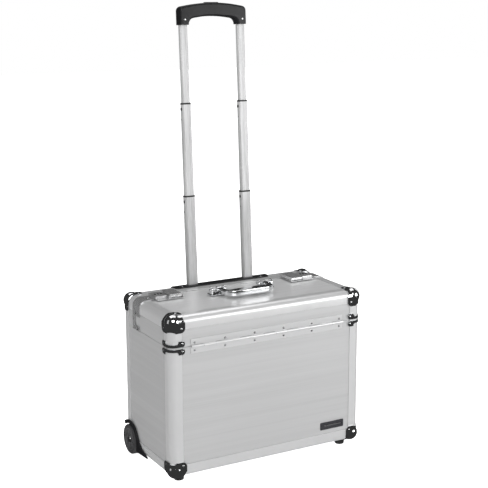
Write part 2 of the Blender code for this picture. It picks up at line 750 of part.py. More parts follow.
def carry_handle(chrome):
    bm = bmesh.new()
    rings = []
    for centre, turn, half_w, half_h in bail_sections():
        across = Vector((-math.sin(math.radians(turn)), math.cos(math.radians(turn)), 0.0))
        ring = []
        for u, v in rounded_rectangle(half_w, half_h, min(half_w, half_h) * 0.8, 3):
            ring.append(bm.verts.new(Vector(centre) + across * u + Vector((0, 0, v))))
        rings.append(ring)
    count = len(rings[0])
    for here, there in zip(rings, rings[1:]):
        for point in range(count):
            after = (point + 1) % count
            bm.faces.new((here[point], here[after], there[after], there[point]))
    bm.faces.new(rings[0])
    bm.faces.new(rings[-1])
    handle = finish(bm, "carry_handle")
    pivot = (0.0, FRONT_Y + BAIL_PIVOT_D, TOP_Z + BAIL_PIVOT_H)
    for _, side in SIDES:
        faces = (side * BAIL_HALF - EYE_HALF, side * BAIL_HALF + EYE_HALF)
        join(handle, cylinder("eye", "X", 0.0062, pivot[1], pivot[2], *faces, 24))
        cut(handle, cylinder("bore", "X", 0.0030, pivot[1], pivot[2], faces[0] - 0.01, faces[1] + 0.01, 16))
    dress(set_origin(handle, pivot), chrome, 40)


def handle_bracket(side_name, side, chrome):
    """Foot plate, two cheeks and a pin that carry one end of the carry handle."""
    pivot_y = FRONT_Y + BAIL_PIVOT_D
    pivot_z = TOP_Z + BAIL_PIVOT_H
    low = TOP_Z + GAP
    middle = side * BRACKET_X
    plate = box("handle_bracket_" + side_name, (middle - BRACKET_HALF, pivot_y - 0.012, low),
                (middle + BRACKET_HALF, pivot_y + 0.012, low + 0.0016))

    def upright(first, second):
        return abs(first.z - second.z) > 1e-4
    bevel_edges(plate, 0.004, 3, upright)
    reach = BRACKET_HALF - 0.0022
    pin = cylinder("pin", "X", 0.0026, pivot_y, pivot_z, middle - reach + 0.001, middle + reach - 0.001, 16)
    for cheek_side in (-1, 1):
        faces = sorted((middle + cheek_side * reach, middle + cheek_side * (reach - 0.0035)))
        cheek = cylinder("cheek", "X", CHEEK_R, pivot_y, pivot_z, *faces, 24)
        web = box("web", (faces[0], pivot_y - CHEEK_R, low + 0.001), (faces[1], pivot_y + CHEEK_R, pivot_z))
        join(cheek, web)
        join(pin, cheek)
    join(plate, pin)
    dress(plate, chrome, 40)


def lock(side_name, side, chrome, satin):
    """Lock plate with its key block on the lid, and the lever that drops over the strike."""
    low = TOP_Z + GAP
    pivot = (side * LOCK_X, FRONT_Y + LOCK_PIVOT_D, TOP_Z + LOCK_PIVOT_H)
    inner, outer = side * (LOCK_X - 0.017), side * (LOCK_X + 0.045)
    rear = PART_Y - GAP
    base = box("lock_base_" + side_name, (min(inner, outer), pivot[1] - 0.006, low),
               (max(inner, outer), rear, low + 0.0012))
    block_x = sorted((side * (LOCK_X + 0.0165), outer))
    block = box("block", (block_x[0], pivot[1] + 0.004, low + 0.0006), (block_x[1], rear, low + 0.0075))

    def crest(first, second):
        return max(first.z, second.z) > low + 0.007
    bevel_edges(block, 0.002, 2, crest)
    ears = []
    for ear_side in (-1, 1):
        x = pivot[0] + ear_side * 0.0155
        ears.append(box("ear", (x - 0.001, pivot[1] - 0.004, low + 0.0006),
                        (x + 0.001, pivot[1] + 0.004, pivot[2] + 0.0022)))
    rod = cylinder("rod", "X", 0.0012, pivot[1], pivot[2], pivot[0] - 0.0155, pivot[0] + 0.0155, 12)
    join(base, block, *ears)
    join(base, rod)
    dress(base, satin)

    half = 0.0140
    under = low + 0.0012 + 0.0004
    top = TOP_Z + 0.0095
    nose = PART_Y + 0.0080
    heel = pivot[1] - 0.0031
    over_strike = TOP_Z + 0.0028 + 0.0006
    outline = [(heel, pivot[2] - 0.0005), (heel + 0.0020, under), (PART_Y, under), (PART_Y, over_strike)]
    outline += [(nose, over_strike), (nose, over_strike + 0.002), (nose - 0.006, top)]
    outline += arc(heel + 0.0035, top - 0.0035, 0.0035, 90, 180, 4)
    lever = prism("lock_lever_" + side_name, outline, "X", pivot[0] - half, pivot[0] + half)
    cut(lever, cylinder("bore", "X", 0.0012 + GAP, pivot[1], pivot[2], -0.3, 0.3, 12))

    def brow(first, second):
        return abs(first.x - second.x) < 1e-6 and min(first.z, second.z) > over_strike + 0.0015
    bevel_edges(lever, 0.0018, 2, brow)
    dress(set_origin(lever, pivot), chrome, 40)


def build():
    clear_scene()
    aluminium = material("anodised_aluminium", (0.80, 0.81, 0.82), 0.34, 1.0)
    chrome = material("chrome", (0.86, 0.87, 0.88), 0.07, 1.0)
    satin = material("satin_nickel", (0.55, 0.56, 0.57), 0.30, 1.0)
    plastic = material("black_plastic", (0.015, 0.015, 0.017), 0.42, 0.0)
    wheel_grey = material("wheel_rubber", (0.10, 0.10, 0.105), 0.55, 0.0)
    rubber = material("foot_rubber", (0.02, 0.02, 0.02), 0.75, 0.0)
    steel = material("zinc_steel", (0.62, 0.63, 0.65), 0.28, 1.0)
    lining = material("partition_board", (0.05, 0.05, 0.055), 0.85, 0.0)
    button = material("button_plastic", (0.035, 0.035, 0.04), 0.35, 0.0)

    body_frames(aluminium)
    body_panels(aluminium, lining)
    column_cap(aluminium)
    lid(aluminium)
    corners(chrome)
    hinge(aluminium, steel)
    trolley(aluminium, plastic, button)
    carry_handle(chrome)
    for side_name, side in SIDES:
        wheel_station(side_name, side, plastic, wheel_grey, steel)
        foot(side_name, side, rubber)
        handle_bracket(side_name, side, chrome)
        lock(side_name, side, chrome, satin)


build()
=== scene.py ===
import json
import math

import bpy
from mathutils import Euler, Matrix, Vector

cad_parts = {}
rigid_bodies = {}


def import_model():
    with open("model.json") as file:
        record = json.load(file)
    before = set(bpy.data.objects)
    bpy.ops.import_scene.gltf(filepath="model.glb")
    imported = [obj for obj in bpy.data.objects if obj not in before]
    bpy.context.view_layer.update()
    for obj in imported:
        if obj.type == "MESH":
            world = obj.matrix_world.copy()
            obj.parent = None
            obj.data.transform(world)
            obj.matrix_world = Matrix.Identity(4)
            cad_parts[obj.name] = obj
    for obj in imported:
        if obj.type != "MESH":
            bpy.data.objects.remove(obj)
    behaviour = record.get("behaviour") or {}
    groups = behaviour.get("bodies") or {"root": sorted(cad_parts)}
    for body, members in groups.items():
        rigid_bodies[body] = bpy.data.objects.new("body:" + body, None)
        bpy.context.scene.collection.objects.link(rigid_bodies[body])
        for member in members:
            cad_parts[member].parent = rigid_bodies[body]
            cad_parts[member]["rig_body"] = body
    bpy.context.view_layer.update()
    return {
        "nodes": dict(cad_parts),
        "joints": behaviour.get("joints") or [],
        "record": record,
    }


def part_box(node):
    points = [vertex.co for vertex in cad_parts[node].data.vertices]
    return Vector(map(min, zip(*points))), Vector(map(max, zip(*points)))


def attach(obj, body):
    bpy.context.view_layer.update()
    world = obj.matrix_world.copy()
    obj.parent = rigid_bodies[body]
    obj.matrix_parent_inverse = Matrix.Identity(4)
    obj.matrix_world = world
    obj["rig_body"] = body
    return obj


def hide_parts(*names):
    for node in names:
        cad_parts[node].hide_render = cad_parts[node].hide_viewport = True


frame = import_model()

bl_info = {
    "name": "Pilot Case",
    "version": (1, 0, 0),
    "blender": (4, 5, 0),
    "location": "View3D > Sidebar > Pilot Case",
    "description": "Finished pieces and materials for an aluminium pilot case with a trolley handle",
    "category": "Object",
}

NODES = frame["nodes"]
JOINTS = {joint["name"]: joint for joint in frame["joints"]}
SIDES = (("left", -1), ("right", 1))

# The case's faces, from the frame
FRONT_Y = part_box("lid_frame")[0].y
REAR_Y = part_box("frame_rear")[1].y
TOP_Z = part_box("lid_frame")[1].z
BASE_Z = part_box("frame_front")[0].z
HALF_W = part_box("lid_frame")[1].x
PART_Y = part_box("lid_panel_top")[1].y
SEAM_Z = JOINTS["lid_hinge"]["pos_m"][2]
MM = 0.001
EDGE_R = 15.0 * MM       # outer radius of the edge extrusions
CAP_PROUD = 1.6 * MM     # chrome pieces stand this far off the case
CAP_LEG = 34.0 * MM      # how far a chrome corner reaches along each edge
CLEAR = 0.3 * MM         # gap between a piece and its neighbour

# Rivets of the chrome pieces and of the hinge
EAR_REACH = 25.5 * MM    # from the case's corner to a rivet in a corner's ear
BRACE_REACH = 27.5 * MM
BRACE_RISE = 8.0 * MM    # from the seam to a brace's rivets
BRACE_SUNK = 0.6 * MM    # how much lower the braces' front rivets sit
TRIM_REACH = 27.0 * MM
HINGE_RIVETS_X = [x * MM for x in (-174.5, -105, -35, 35, 105, 174.5)]

# Label plate on the front
LABEL_LEFT = 130.0 * MM
LABEL_LOW_Z = 52.0 * MM
LABEL_HIGH_Z = 69.0 * MM

# Carry handle
HANDLE_HALF = 55.0 * MM  # from the middle to each arm
HANDLE_REACH = 44.0 * MM
HANDLE_BEND = 20.0 * MM
BAR_DEPTH = 21.0 * MM
BAR_HALF_H = 6.6 * MM
ARM_DEPTH, ARM_H = 12.0 * MM, 10.0 * MM
BRACKET_X = 58.0 * MM

# Locks
KEY_BLOCK_IN = 14.2 * MM  # from a lock's outer end to the middle of its key block
DIAL_PITCH = 7.0 * MM
DIAL_R = 4.4 * MM

# Trolley handle, along its own leaning axis from the top plane
SLIDE = Vector(JOINTS["trolley_lower_slide"]["axis"]).normalized()
LEAN = math.atan2(SLIDE.y, SLIDE.z)
TROLLEY_X = (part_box("tube_lower_right")[0].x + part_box("tube_lower_right")[1].x) / 2
TROLLEY_Y = REAR_Y - 14.0 * MM
TUBES = {                # half width, half depth, wall, lowest and highest end
    "lower": (12.25 * MM, 6.75 * MM, 0.9 * MM, -138.0 * MM, 198.0 * MM),
    "middle": (11.0 * MM, 5.5 * MM, 0.9 * MM, 108.5 * MM, 398.4 * MM),
    "upper": (9.75 * MM, 4.25 * MM, 0.9 * MM, 308.0 * MM, 590.0 * MM),
}
TUBE_R = 4.0 * MM        # corner radius of the tubes
BUTTON_PROUD = 0.12 * MM  # a lock button passes into the tube outside it
DISH_X = 99.0 * MM       # the dishes and screws in the bezel
DISH_IN = 23.5 * MM
GRIP_SCREW = (69.5 * MM, -12.5 * MM, 576.0 * MM)  # sideways, across and along the handle

# Wheels
TYRE_INSIDE = 0.76       # share of the wheel's radius
TREAD_GROOVE = 3.2 * MM  # from the tread's middle to a groove
HUB_BORE_R = 4.7 * MM
HUB_BOSS_R = 9.0 * MM
SPOKES = 6

LINING_IN = 6.4 * MM     # from the case's faces to the lining's

GROOVE_PITCH = 57.2 * MM  # from one group of pressed lines to the next
GROOVE_TOP_Z = 274.0 * MM
GROOVE_TOP_Y = FRONT_Y + 46.0 * MM
GROOVE_STEP = 4.0 * MM    # between the lines of a group

# Camera and lens
CAMERA_PLACE = (-1.1664, -2.1107, 0.9831)
CAMERA_TILT, CAMERA_ROLL, CAMERA_TURN = 77.76, -0.18, -29.175
CAMERA_LENS, SENSOR_WIDTH = 84.53, 36.0


# ---------------------------------------------------------------- modelling helpers

def deselect():
    if bpy.context.object is not None and bpy.context.object.mode != "OBJECT":
        bpy.ops.object.mode_set(mode="OBJECT")
    bpy.ops.object.select_all(action="DESELECT")


def hold(*pieces):
    """Select only these pieces, the first one active."""
    deselect()
    for piece in pieces:
        piece.select_set(True)
    bpy.context.view_layer.objects.active = pieces[0]


def settle(piece, name=None):
    """Put a piece's place into its mesh."""
    hold(piece)
    bpy.ops.object.transform_apply(location=True, rotation=True, scale=True)
    if name:
        piece.name = name
    return piece


def pick(piece, kind, wanted):
    """Open a piece in edit mode with only the wanted vertices, edges or faces selected."""
    hold(piece)
    bpy.ops.object.mode_set(mode="EDIT")
    bpy.ops.mesh.select_mode(type=kind)
    bpy.ops.mesh.select_all(action="DESELECT")
    bpy.ops.object.mode_set(mode="OBJECT")
    mesh = piece.data
    if kind == "FACE":
        for face in mesh.polygons:
            face.select = bool(wanted(face.center, face.normal))
    elif kind == "EDGE":
        for edge in mesh.edges:
            first, second = (mesh.vertices[index].co for index in edge.vertices)
            edge.select = bool(wanted(first, second))
    else:
        for vertex in mesh.vertices:
            vertex.select = bool(wanted(vertex.co))
    bpy.ops.object.mode_set(mode="EDIT")


def close_up():
    bpy.ops.object.mode_set(mode="OBJECT")


def block(name, low, high):
    """A box between two corners."""
    deselect()
    low, high = Vector(low), Vector(high)
    bpy.ops.mesh.primitive_cube_add(size=1, location=(low + high) / 2, scale=high - low)
    return settle(bpy.context.object, name)


def drum(name, axis, radius, centre, length, steps=24):
    """A cylinder along an axis, centred on a point."""
    deselect()
    turn = {"X": (0, math.pi / 2, 0), "Y": (math.pi / 2, 0, 0), "Z": (0, 0, 0)}[axis]
    bpy.ops.mesh.primitive_cylinder_add(vertices=steps, radius=radius, depth=length, location=centre,
                                        rotation=turn)
    return settle(bpy.context.object, name)


def turned(name, profile, centre, axis, steps=32):
    """Draw a line of (radius, along) points beside an axis and spin it round."""
    deselect()
    centre = Vector(centre)
    along = Vector([letter == axis for letter in "XYZ"])
    out = Vector((1, 0, 0)) if axis == "Z" else Vector((0, 0, 1))
    points = [centre + out * radius + along * rise for radius, rise in profile]
    bpy.ops.mesh.primitive_plane_add(size=MM, location=points[0])
    piece = settle(bpy.context.object, name)
    bpy.ops.object.mode_set(mode="EDIT")
    bpy.ops.mesh.select_mode(type="VERT")
    bpy.ops.mesh.merge(type="CENTER")
    for here, there in zip(points, points[1:]):
        bpy.ops.mesh.extrude_region_move(TRANSFORM_OT_translate={"value": there - here})
    bpy.ops.mesh.select_all(action="SELECT")
    bpy.ops.mesh.spin(steps=steps, angle=2 * math.pi, center=centre, axis=along)
    bpy.ops.mesh.select_all(action="SELECT")
    bpy.ops.mesh.remove_doubles(threshold=MM / 100)
    bpy.ops.mesh.normals_make_consistent(inside=False)
    close_up()
    return piece


def arc(centre_u, centre_v, radius, start, end, steps):
    """Points on a circle between two angles in degrees."""
    points = []
    for step in range(steps + 1):
        angle = math.radians(start + (end - start) * step / steps)
        points.append((centre_u + radius * math.cos(angle), centre_v + radius * math.sin(angle)))
    return points


def apply_modifier(piece, kind, **settings):
    hold(piece)
    modifier = piece.modifiers.new(kind.title(), kind)
    for key, value in settings.items():
        setattr(modifier, key, value)
    bpy.ops.object.modifier_apply(modifier=modifier.name)
    return piece


def combine(piece, other, operation):
    """Join another shape to a piece, or cut it away, and discard that shape."""
    apply_modifier(piece, "BOOLEAN", object=other, operation=operation, solver="EXACT")
    used = other.data
    bpy.data.objects.remove(other)
    bpy.data.meshes.remove(used)
    return piece


def ease_edges(piece, width, segments=2, angle=34):
    """Round every edge that is sharper than an angle in degrees."""
    apply_modifier(piece, "BEVEL", width=width, segments=segments, limit_method="ANGLE",
                   angle_limit=math.radians(angle))
    return piece


def bevel_picked(piece, wanted, width, segments):
    pick(piece, "EDGE", wanted)
    bpy.ops.mesh.bevel(offset=width, segments=segments, affect="EDGES")
    close_up()
    return piece


def twin(piece, name, turn):
    """A copy of a piece with a mesh of its own, moved by a matrix."""
    copy = bpy.data.objects.new(name, piece.data.copy())
    bpy.context.scene.collection.objects.link(copy)
    copy.data.transform(turn)
    if turn.to_3x3().determinant() < 0:
        copy.data.flip_normals()
    return copy


def discard(*pieces):
    for piece in pieces:
        bpy.data.objects.remove(piece)


def set_out(pattern, name, places):
    """Copy a small part to each (place, outward) pair and join the copies."""
    copies = []
    for place, outward in places:
        turn = Vector(outward).to_track_quat("Z", "Y").to_matrix().to_4x4()
        copies.append(twin(pattern, name, Matrix.Translation(place) @ turn))
    hold(*copies)
    bpy.ops.object.join()
    copies[0].name = name
    return copies[0]


def refined(node, width=0.25 * MM, segments=2, angle=34):
    """A welded copy of a frame node with its sharp edges eased."""
    piece = bpy.data.objects.new(node + "_fine", NODES[node].data.copy())
    bpy.context.scene.collection.objects.link(piece)
    hold(piece)
    bpy.ops.object.mode_set(mode="EDIT")
    bpy.ops.mesh.select_all(action="SELECT")
    bpy.ops.mesh.remove_doubles(threshold=MM / 200)
    bpy.ops.mesh.dissolve_limited(angle_limit=math.radians(1.0))
    close_up()
    if width:
        ease_edges(piece, width, segments, angle)
    return piece


def complete(piece, finish, body, slot, *nodes, angle=38, weigh=True):
    """Give a finished piece its material, smooth shading and body; the slot is not used."""
    hold(piece)
    bpy.ops.object.transform_apply(location=True, rotation=True, scale=True)
    bpy.ops.object.mode_set(mode="EDIT")
    bpy.ops.mesh.select_all(action="SELECT")
    bpy.ops.mesh.normals_make_consistent(inside=False)
    close_up()
    piece.data.materials.clear()
    piece.data.materials.append(finish)
    bpy.ops.object.shade_smooth_by_angle(angle=math.radians(angle))
    if weigh:
        apply_modifier(piece, "WEIGHTED_NORMAL", keep_sharp=True)
    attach(piece, body)
    if nodes:
        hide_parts(*nodes)
    return piece


def finish_node(node, finish, **more):
    """Stand a refined copy of a node in its place."""
    body = NODES[node]["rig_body"]
    return complete(refined(node, **more), finish, body, slot_of(node), node)


def slot_of(node):
    for part in frame["record"]["subparts"]:
        if part["node"] == node:
            return part["material_slot"]
    raise RuntimeError("no slot is recorded for " + node)


def on_handle(x, across, along):
    """A point given beside and along the trolley handle's leaning axis."""
    lean = Matrix.Rotation(-LEAN, 4, "X")
    return Matrix.Translation((0, TROLLEY_Y, TOP_Z)) @ lean @ Vector((x, across, along))


def lean_over(piece):
    """Move a piece made upright round the origin onto the trolley handle's axis."""
    lean = Matrix.Translation((0, TROLLEY_Y, TOP_Z)) @ Matrix.Rotation(-LEAN, 4, "X")
    piece.data.transform(lean)
    return piece


# ---------------------------------------------------------------- material helpers

def shader_of(name, colour, roughness, metallic=0.0, **more):
    """A new node material with its plain values set, and its tree and surface shader."""
    finish = bpy.data.materials.new(name)
    finish.use_nodes = True
    shader = finish.node_tree.nodes["Principled BSDF"]
    shader.inputs["Base Color"].default_value = (*colour, 1.0)
    shader.inputs["Roughness"].default_value = roughness
    shader.inputs["Metallic"].default_value = metallic
    for key, value in more.items():
        shader.inputs[key.replace("_", " ")].default_value = value
    return finish, finish.node_tree, shader


def put(tree, kind, inputs=None, **settings):
    """Add a node, set it up and wire or set its inputs."""
    item = tree.nodes.new(kind)
    for key, value in settings.items():
        setattr(item, key, value)
    for key, value in (inputs or {}).items():
        if isinstance(value, bpy.types.NodeSocket):
            tree.links.new(value, item.inputs[key])
        else:
            item.inputs[key].default_value = value
    return item


def calc(tree, operation, first, second=0.0):
    return put(tree, "ShaderNodeMath", {0: first, 1: second}, operation=operation).outputs[0]


def spread(tree, value, low, high, start=0.0, end=1.0, smooth=False):
    """Take a value from the range start to end to the range low to high."""
    kind = "SMOOTHSTEP" if smooth else "LINEAR"
    inputs = {"Value": value, "From Min": start, "From Max": end, "To Min": low, "To Max": high}
    return put(tree, "ShaderNodeMapRange", inputs, interpolation_type=kind).outputs[0]


def place_of(tree):
    return put(tree, "ShaderNodeTexCoord").outputs["Object"]


def speckle(tree, scale, stretch=(1, 1, 1), detail=3.0, turn=(0, 0, 0), offset=0.0):
    """Noise on the object's own coordinates, stretched along its axes."""
    placed = {"Vector": place_of(tree), "Scale": stretch, "Rotation": turn, "Location": (offset,) * 3}
    mapping = put(tree, "ShaderNodeMapping", placed)
    inputs = {"Vector": mapping.outputs[0], "Scale": scale, "Detail": detail}
    return put(tree, "ShaderNodeTexNoise", inputs).outputs["Fac"]


def tint(tree, shader, factor, dark, light):
    """Vary the surface colour between two colours."""
    ramp = put(tree, "ShaderNodeMix", {"Factor": factor}, data_type="RGBA")
    ramp.inputs["A"].default_value = (*dark, 1.0)
    ramp.inputs["B"].default_value = (*light, 1.0)
    tree.links.new(ramp.outputs["Result"], shader.inputs["Base Color"])


def relief(tree, shader, height, depth, strength=1.0, below=None):
    inputs = {"Height": height, "Distance": depth, "Strength": strength}
    if below is not None:
        inputs["Normal"] = below
    bump = put(tree, "ShaderNodeBump", inputs)
    tree.links.new(bump.outputs[0], shader.inputs["Normal"])
    return bump.outputs[0]


def grey(level):
    return (level, level * 1.003, level * 1.008)


def brushed_sheet(name, grain, groove_axis, groove_at, shade):
    """Aluminium sheet, brushed along one axis, with groups of three fine pressed lines, with painted shade
    inside the lines and a painted highlight along their lips.
    """
    finish, tree, shader = shader_of(name, grey(shade), 0.36, 0.45)
    fine = [900.0] * 3
    fine[grain] = 7.0
    wide = [130.0] * 3
    wide[grain] = 1.3
    streak = speckle(tree, 1.0, fine, 4.0)
    band = speckle(tree, 1.0, wide, 3.0, offset=3.1)
    cloud = speckle(tree, 5.0, detail=3.0, offset=7.7)
    across = put(tree, "ShaderNodeSeparateXYZ", {0: place_of(tree)}).outputs[groove_axis]
    away = calc(tree, "PINGPONG", calc(tree, "SUBTRACT", across, groove_at), GROOVE_PITCH / 2)
    outer = calc(tree, "ABSOLUTE", calc(tree, "SUBTRACT", away, GROOVE_STEP))
    nearest = calc(tree, "MINIMUM", away, outer)
    groove_and_painted_shade = spread(tree, nearest, 1.0, 0.0, 0.0, 0.9 * MM, smooth=True)
    painted_lip_highlight = spread(tree, nearest, 0.0, 1.0, 0.7 * MM, 1.6 * MM, smooth=True)
    tone = calc(tree, "ADD", calc(tree, "MULTIPLY", band, 0.65), calc(tree, "MULTIPLY", streak, 0.35))
    # Painted shade: the colour is darkened inside the pressed lines.
    tone = calc(tree, "SUBTRACT", tone, calc(tree, "MULTIPLY", groove_and_painted_shade, 0.16))
    # Painted highlight: the colour is lightened along the lips beside the pressed lines.
    tone = calc(tree, "ADD", tone, calc(tree, "MULTIPLY", calc(tree, "SUBTRACT", 1.0, painted_lip_highlight), 0.05))
    tint(tree, shader, spread(tree, tone, 0.0, 1.0, 0.1, 0.9), grey(shade * 0.86), grey(shade * 1.08))
    rough = calc(tree, "ADD", calc(tree, "MULTIPLY", streak, 0.12), calc(tree, "MULTIPLY", cloud, 0.08))
    tree.links.new(spread(tree, rough, 0.29, 0.45, 0.02, 0.18), shader.inputs["Roughness"])
    below = relief(tree, shader, streak, 0.03 * MM, 0.35)
    relief(tree, shader, calc(tree, "SUBTRACT", 1.0, groove_and_painted_shade), 0.12 * MM, 0.5, below)
    return finish


def satin_extrusion(name, shade, roughness=0.30, grain=None, metallic=0.60):
    """Anodised metal, nearly even, with a faint cloud and, along a grain axis, faint lines."""
    finish, tree, shader = shader_of(name, grey(shade), roughness, metallic)
    stretch = [60.0] * 3
    if grain is not None:
        stretch = [300.0] * 3
        stretch[grain] = 3.0
    lines = speckle(tree, 1.0, stretch, 1.0)
    patch = speckle(tree, 14.0, detail=1.0, offset=1.9)
    tone = calc(tree, "ADD", calc(tree, "MULTIPLY", lines, 0.6), calc(tree, "MULTIPLY", patch, 0.4))
    tint(tree, shader, tone, grey(shade * 0.95), grey(shade * 1.02))
    rough = spread(tree, patch, roughness - 0.02, roughness + 0.04)
    tree.links.new(rough, shader.inputs["Roughness"])
    relief(tree, shader, lines, 0.01 * MM, 0.10)
    return finish


def bright_chrome():
    """Polished plate with faint handling haze."""
    finish, tree, shader = shader_of("bright_chrome", (0.82, 0.83, 0.84), 0.07, 1.0)
    haze = speckle(tree, 60.0, detail=5.0)
    wipe = speckle(tree, 1.0, (220.0, 40.0, 90.0), 3.0, offset=5.0)
    mixed = calc(tree, "MULTIPLY", haze, wipe)
    tree.links.new(spread(tree, mixed, 0.04, 0.16, 0.12, 0.42), shader.inputs["Roughness"])
    tint(tree, shader, haze, (0.76, 0.77, 0.78), (0.86, 0.87, 0.88))
    relief(tree, shader, haze, 0.02 * MM, 0.15)
    return finish


def satin_nickel(name, shade, roughness):
    """Nickel plate, from satin to bright, with a faint uneven wear."""
    finish, tree, shader = shader_of(name, grey(shade), roughness, 0.80)
    grain = speckle(tree, 700.0, detail=3.0)
    wear = speckle(tree, 90.0, detail=4.0, offset=2.0)
    tint(tree, shader, spread(tree, wear, 0.0, 1.0, 0.35, 0.65), grey(shade * 0.88), grey(shade * 1.10))
    rough = spread(tree, wear, roughness * 0.8, roughness * 1.3, 0.3, 0.7)
    tree.links.new(rough, shader.inputs["Roughness"])
    relief(tree, shader, grain, 0.03 * MM, 0.4)
    return finish


def drawn_tube():
    """Anodised tube with bright and grey draw lines along its leaning length."""
    finish, tree, shader = shader_of("drawn_tube", grey(0.50), 0.42, 0.45)
    lean = (LEAN, 0.0, 0.0)
    line = speckle(tree, 1.0, (620.0, 620.0, 1.2), 2.0, lean)
    broad = speckle(tree, 1.0, (190.0, 190.0, 0.8), 2.0, lean, offset=4.2)
    tone = calc(tree, "ADD", calc(tree, "MULTIPLY", line, 0.5), calc(tree, "MULTIPLY", broad, 0.5))
    tint(tree, shader, spread(tree, tone, 0.0, 1.0, 0.32, 0.68), grey(0.38), grey(0.58))
    tree.links.new(spread(tree, line, 0.38, 0.52, 0.3, 0.7), shader.inputs["Roughness"])
    relief(tree, shader, line, 0.04 * MM, 0.5)
    return finish


def moulded(name, shade, roughness, grain, depth, sheen=0.5):
    """Moulded plastic or rubber with a fine spark-eroded grain."""
    finish, tree, shader = shader_of(name, shade, roughness, 0.0, Specular_IOR_Level=sheen)
    pits = speckle(tree, grain, detail=3.0)
    patch = speckle(tree, 22.0, detail=4.0, offset=6.0)
    dark = tuple(channel * 0.75 for channel in shade)
    light = tuple(channel * 1.35 for channel in shade)
    tint(tree, shader, spread(tree, patch, 0.0, 1.0, 0.3, 0.7), dark, light)
    rough = spread(tree, pits, roughness - 0.08, roughness + 0.12, 0.3, 0.7)
    tree.links.new(rough, shader.inputs["Roughness"])
    relief(tree, shader, pits, depth, 0.6)
    return finish


def woven_lining():
    """Black lining cloth glued to board: two crossing sets of yarn about a millimetre apart."""
    finish, tree, shader = shader_of("woven_lining", (0.03, 0.03, 0.034), 0.85, 0.0,
                                     Specular_IOR_Level=0.25, Sheen_Weight=0.25)
    split = put(tree, "ShaderNodeSeparateXYZ", {0: place_of(tree)})
    yarn = 2 * math.pi / (1.3 * MM)
    slant = calc(tree, "ADD", split.outputs[0], split.outputs[1])
    warp = calc(tree, "SINE", calc(tree, "MULTIPLY", calc(tree, "ADD", slant, split.outputs[2]), yarn))
    weft = calc(tree, "SINE", calc(tree, "MULTIPLY", calc(tree, "SUBTRACT", slant, split.outputs[2]), yarn))
    weave = spread(tree, calc(tree, "MULTIPLY", warp, weft), 0.0, 1.0, -1.0, 1.0)
    fluff = speckle(tree, 260.0, detail=4.0)
    tone = calc(tree, "ADD", calc(tree, "MULTIPLY", weave, 0.6), calc(tree, "MULTIPLY", fluff, 0.4))
    tint(tree, shader, tone, (0.014, 0.014, 0.017), (0.055, 0.055, 0.062))
    relief(tree, shader, tone, 0.25 * MM, 0.8)
    return finish


def painted_plate():
    """Dark anodised label plate with a fine brushed grain."""
    finish, tree, shader = shader_of("label_black", (0.03, 0.03, 0.035), 0.35, 0.3)
    grain = speckle(tree, 1.0, (12.0, 900.0, 900.0), 3.0)
    tint(tree, shader, grain, (0.018, 0.018, 0.022), (0.06, 0.06, 0.066))
    tree.links.new(spread(tree, grain, 0.28, 0.44, 0.3, 0.7), shader.inputs["Roughness"])
    relief(tree, shader, grain, 0.02 * MM, 0.4)
    return finish


def studio_white(name, glow):
    """The pale floor, which gives off a little light of its own."""
    finish, tree, shader = shader_of(name, (0.92, 0.92, 0.92), 0.9, 0.0)
    dust = speckle(tree, 3.0, detail=4.0)
    tint(tree, shader, dust, (0.90, 0.90, 0.90), (0.94, 0.94, 0.94))
    shader.inputs["Emission Color"].default_value = (1, 1, 1, 1)
    shader.inputs["Emission Strength"].default_value = glow
    return finish


FINISHES = {}


def finish_of(name):
    """The shared material of that name, made when it is first asked for."""
    shade = bpy.context.scene.pilot_case_finish.sheet_shade
    trim = bpy.context.scene.pilot_case_finish.extrusion_shade
    plastic = tuple(bpy.context.scene.pilot_case_finish.plastic_colour)
    recipes = {
        "front_sheet": lambda: brushed_sheet("front_sheet", 0, 2, GROOVE_TOP_Z, shade),
        "end_sheet": lambda: brushed_sheet("end_sheet", 1, 2, GROOVE_TOP_Z, shade),
        # The top and bottom sheets are the front's aluminium painted 1.42 times lighter, as painted light
        # from above.
        "top_sheet_painted_lighter": lambda: brushed_sheet("top_sheet_painted_lighter", 0, 1, GROOVE_TOP_Y, shade * 1.42),
        "frame_extrusion": lambda: satin_extrusion("frame_extrusion", trim),
        "rail_extrusion": lambda: satin_extrusion("rail_extrusion", trim, grain=1),
        "hinge_strip": lambda: satin_extrusion("hinge_strip", trim * 0.98, 0.28, grain=0),
        "rivet_metal": lambda: satin_extrusion("rivet_metal", 0.46, 0.26, metallic=0.90),
        "pin_steel": lambda: satin_extrusion("pin_steel", 0.55, 0.26, metallic=1.0),
        "bright_chrome": bright_chrome,
        "satin_nickel": lambda: satin_nickel("satin_nickel", 0.62, 0.32),
        "bright_nickel": lambda: satin_nickel("bright_nickel", 0.74, 0.20),
        "drawn_tube": drawn_tube,
        "black_moulding": lambda: moulded("black_moulding", plastic, 0.36, 900.0, 0.05 * MM, 0.35),
        "smooth_black": lambda: moulded("smooth_black", (0.02, 0.02, 0.022), 0.28, 500.0, 0.02 * MM),
        "wheel_tyre": lambda: moulded("wheel_tyre", (0.035, 0.035, 0.037), 0.60, 500.0, 0.08 * MM, 0.4),
        "wheel_hub": lambda: moulded("wheel_hub", (0.060, 0.060, 0.062), 0.42, 700.0, 0.04 * MM),
        "foot_rubber": lambda: moulded("foot_rubber", (0.018, 0.018, 0.018), 0.75, 400.0, 0.10 * MM, 0.3),
        "woven_lining": woven_lining,
        "label_black": painted_plate,
        "studio_floor": lambda: studio_white("studio_floor", bpy.context.scene.pilot_case_studio.floor_glow),
    }
    if name not in FINISHES:
        FINISHES[name] = recipes[name]()
    return FINISHES[name]


# ---------------------------------------------------------------- settings

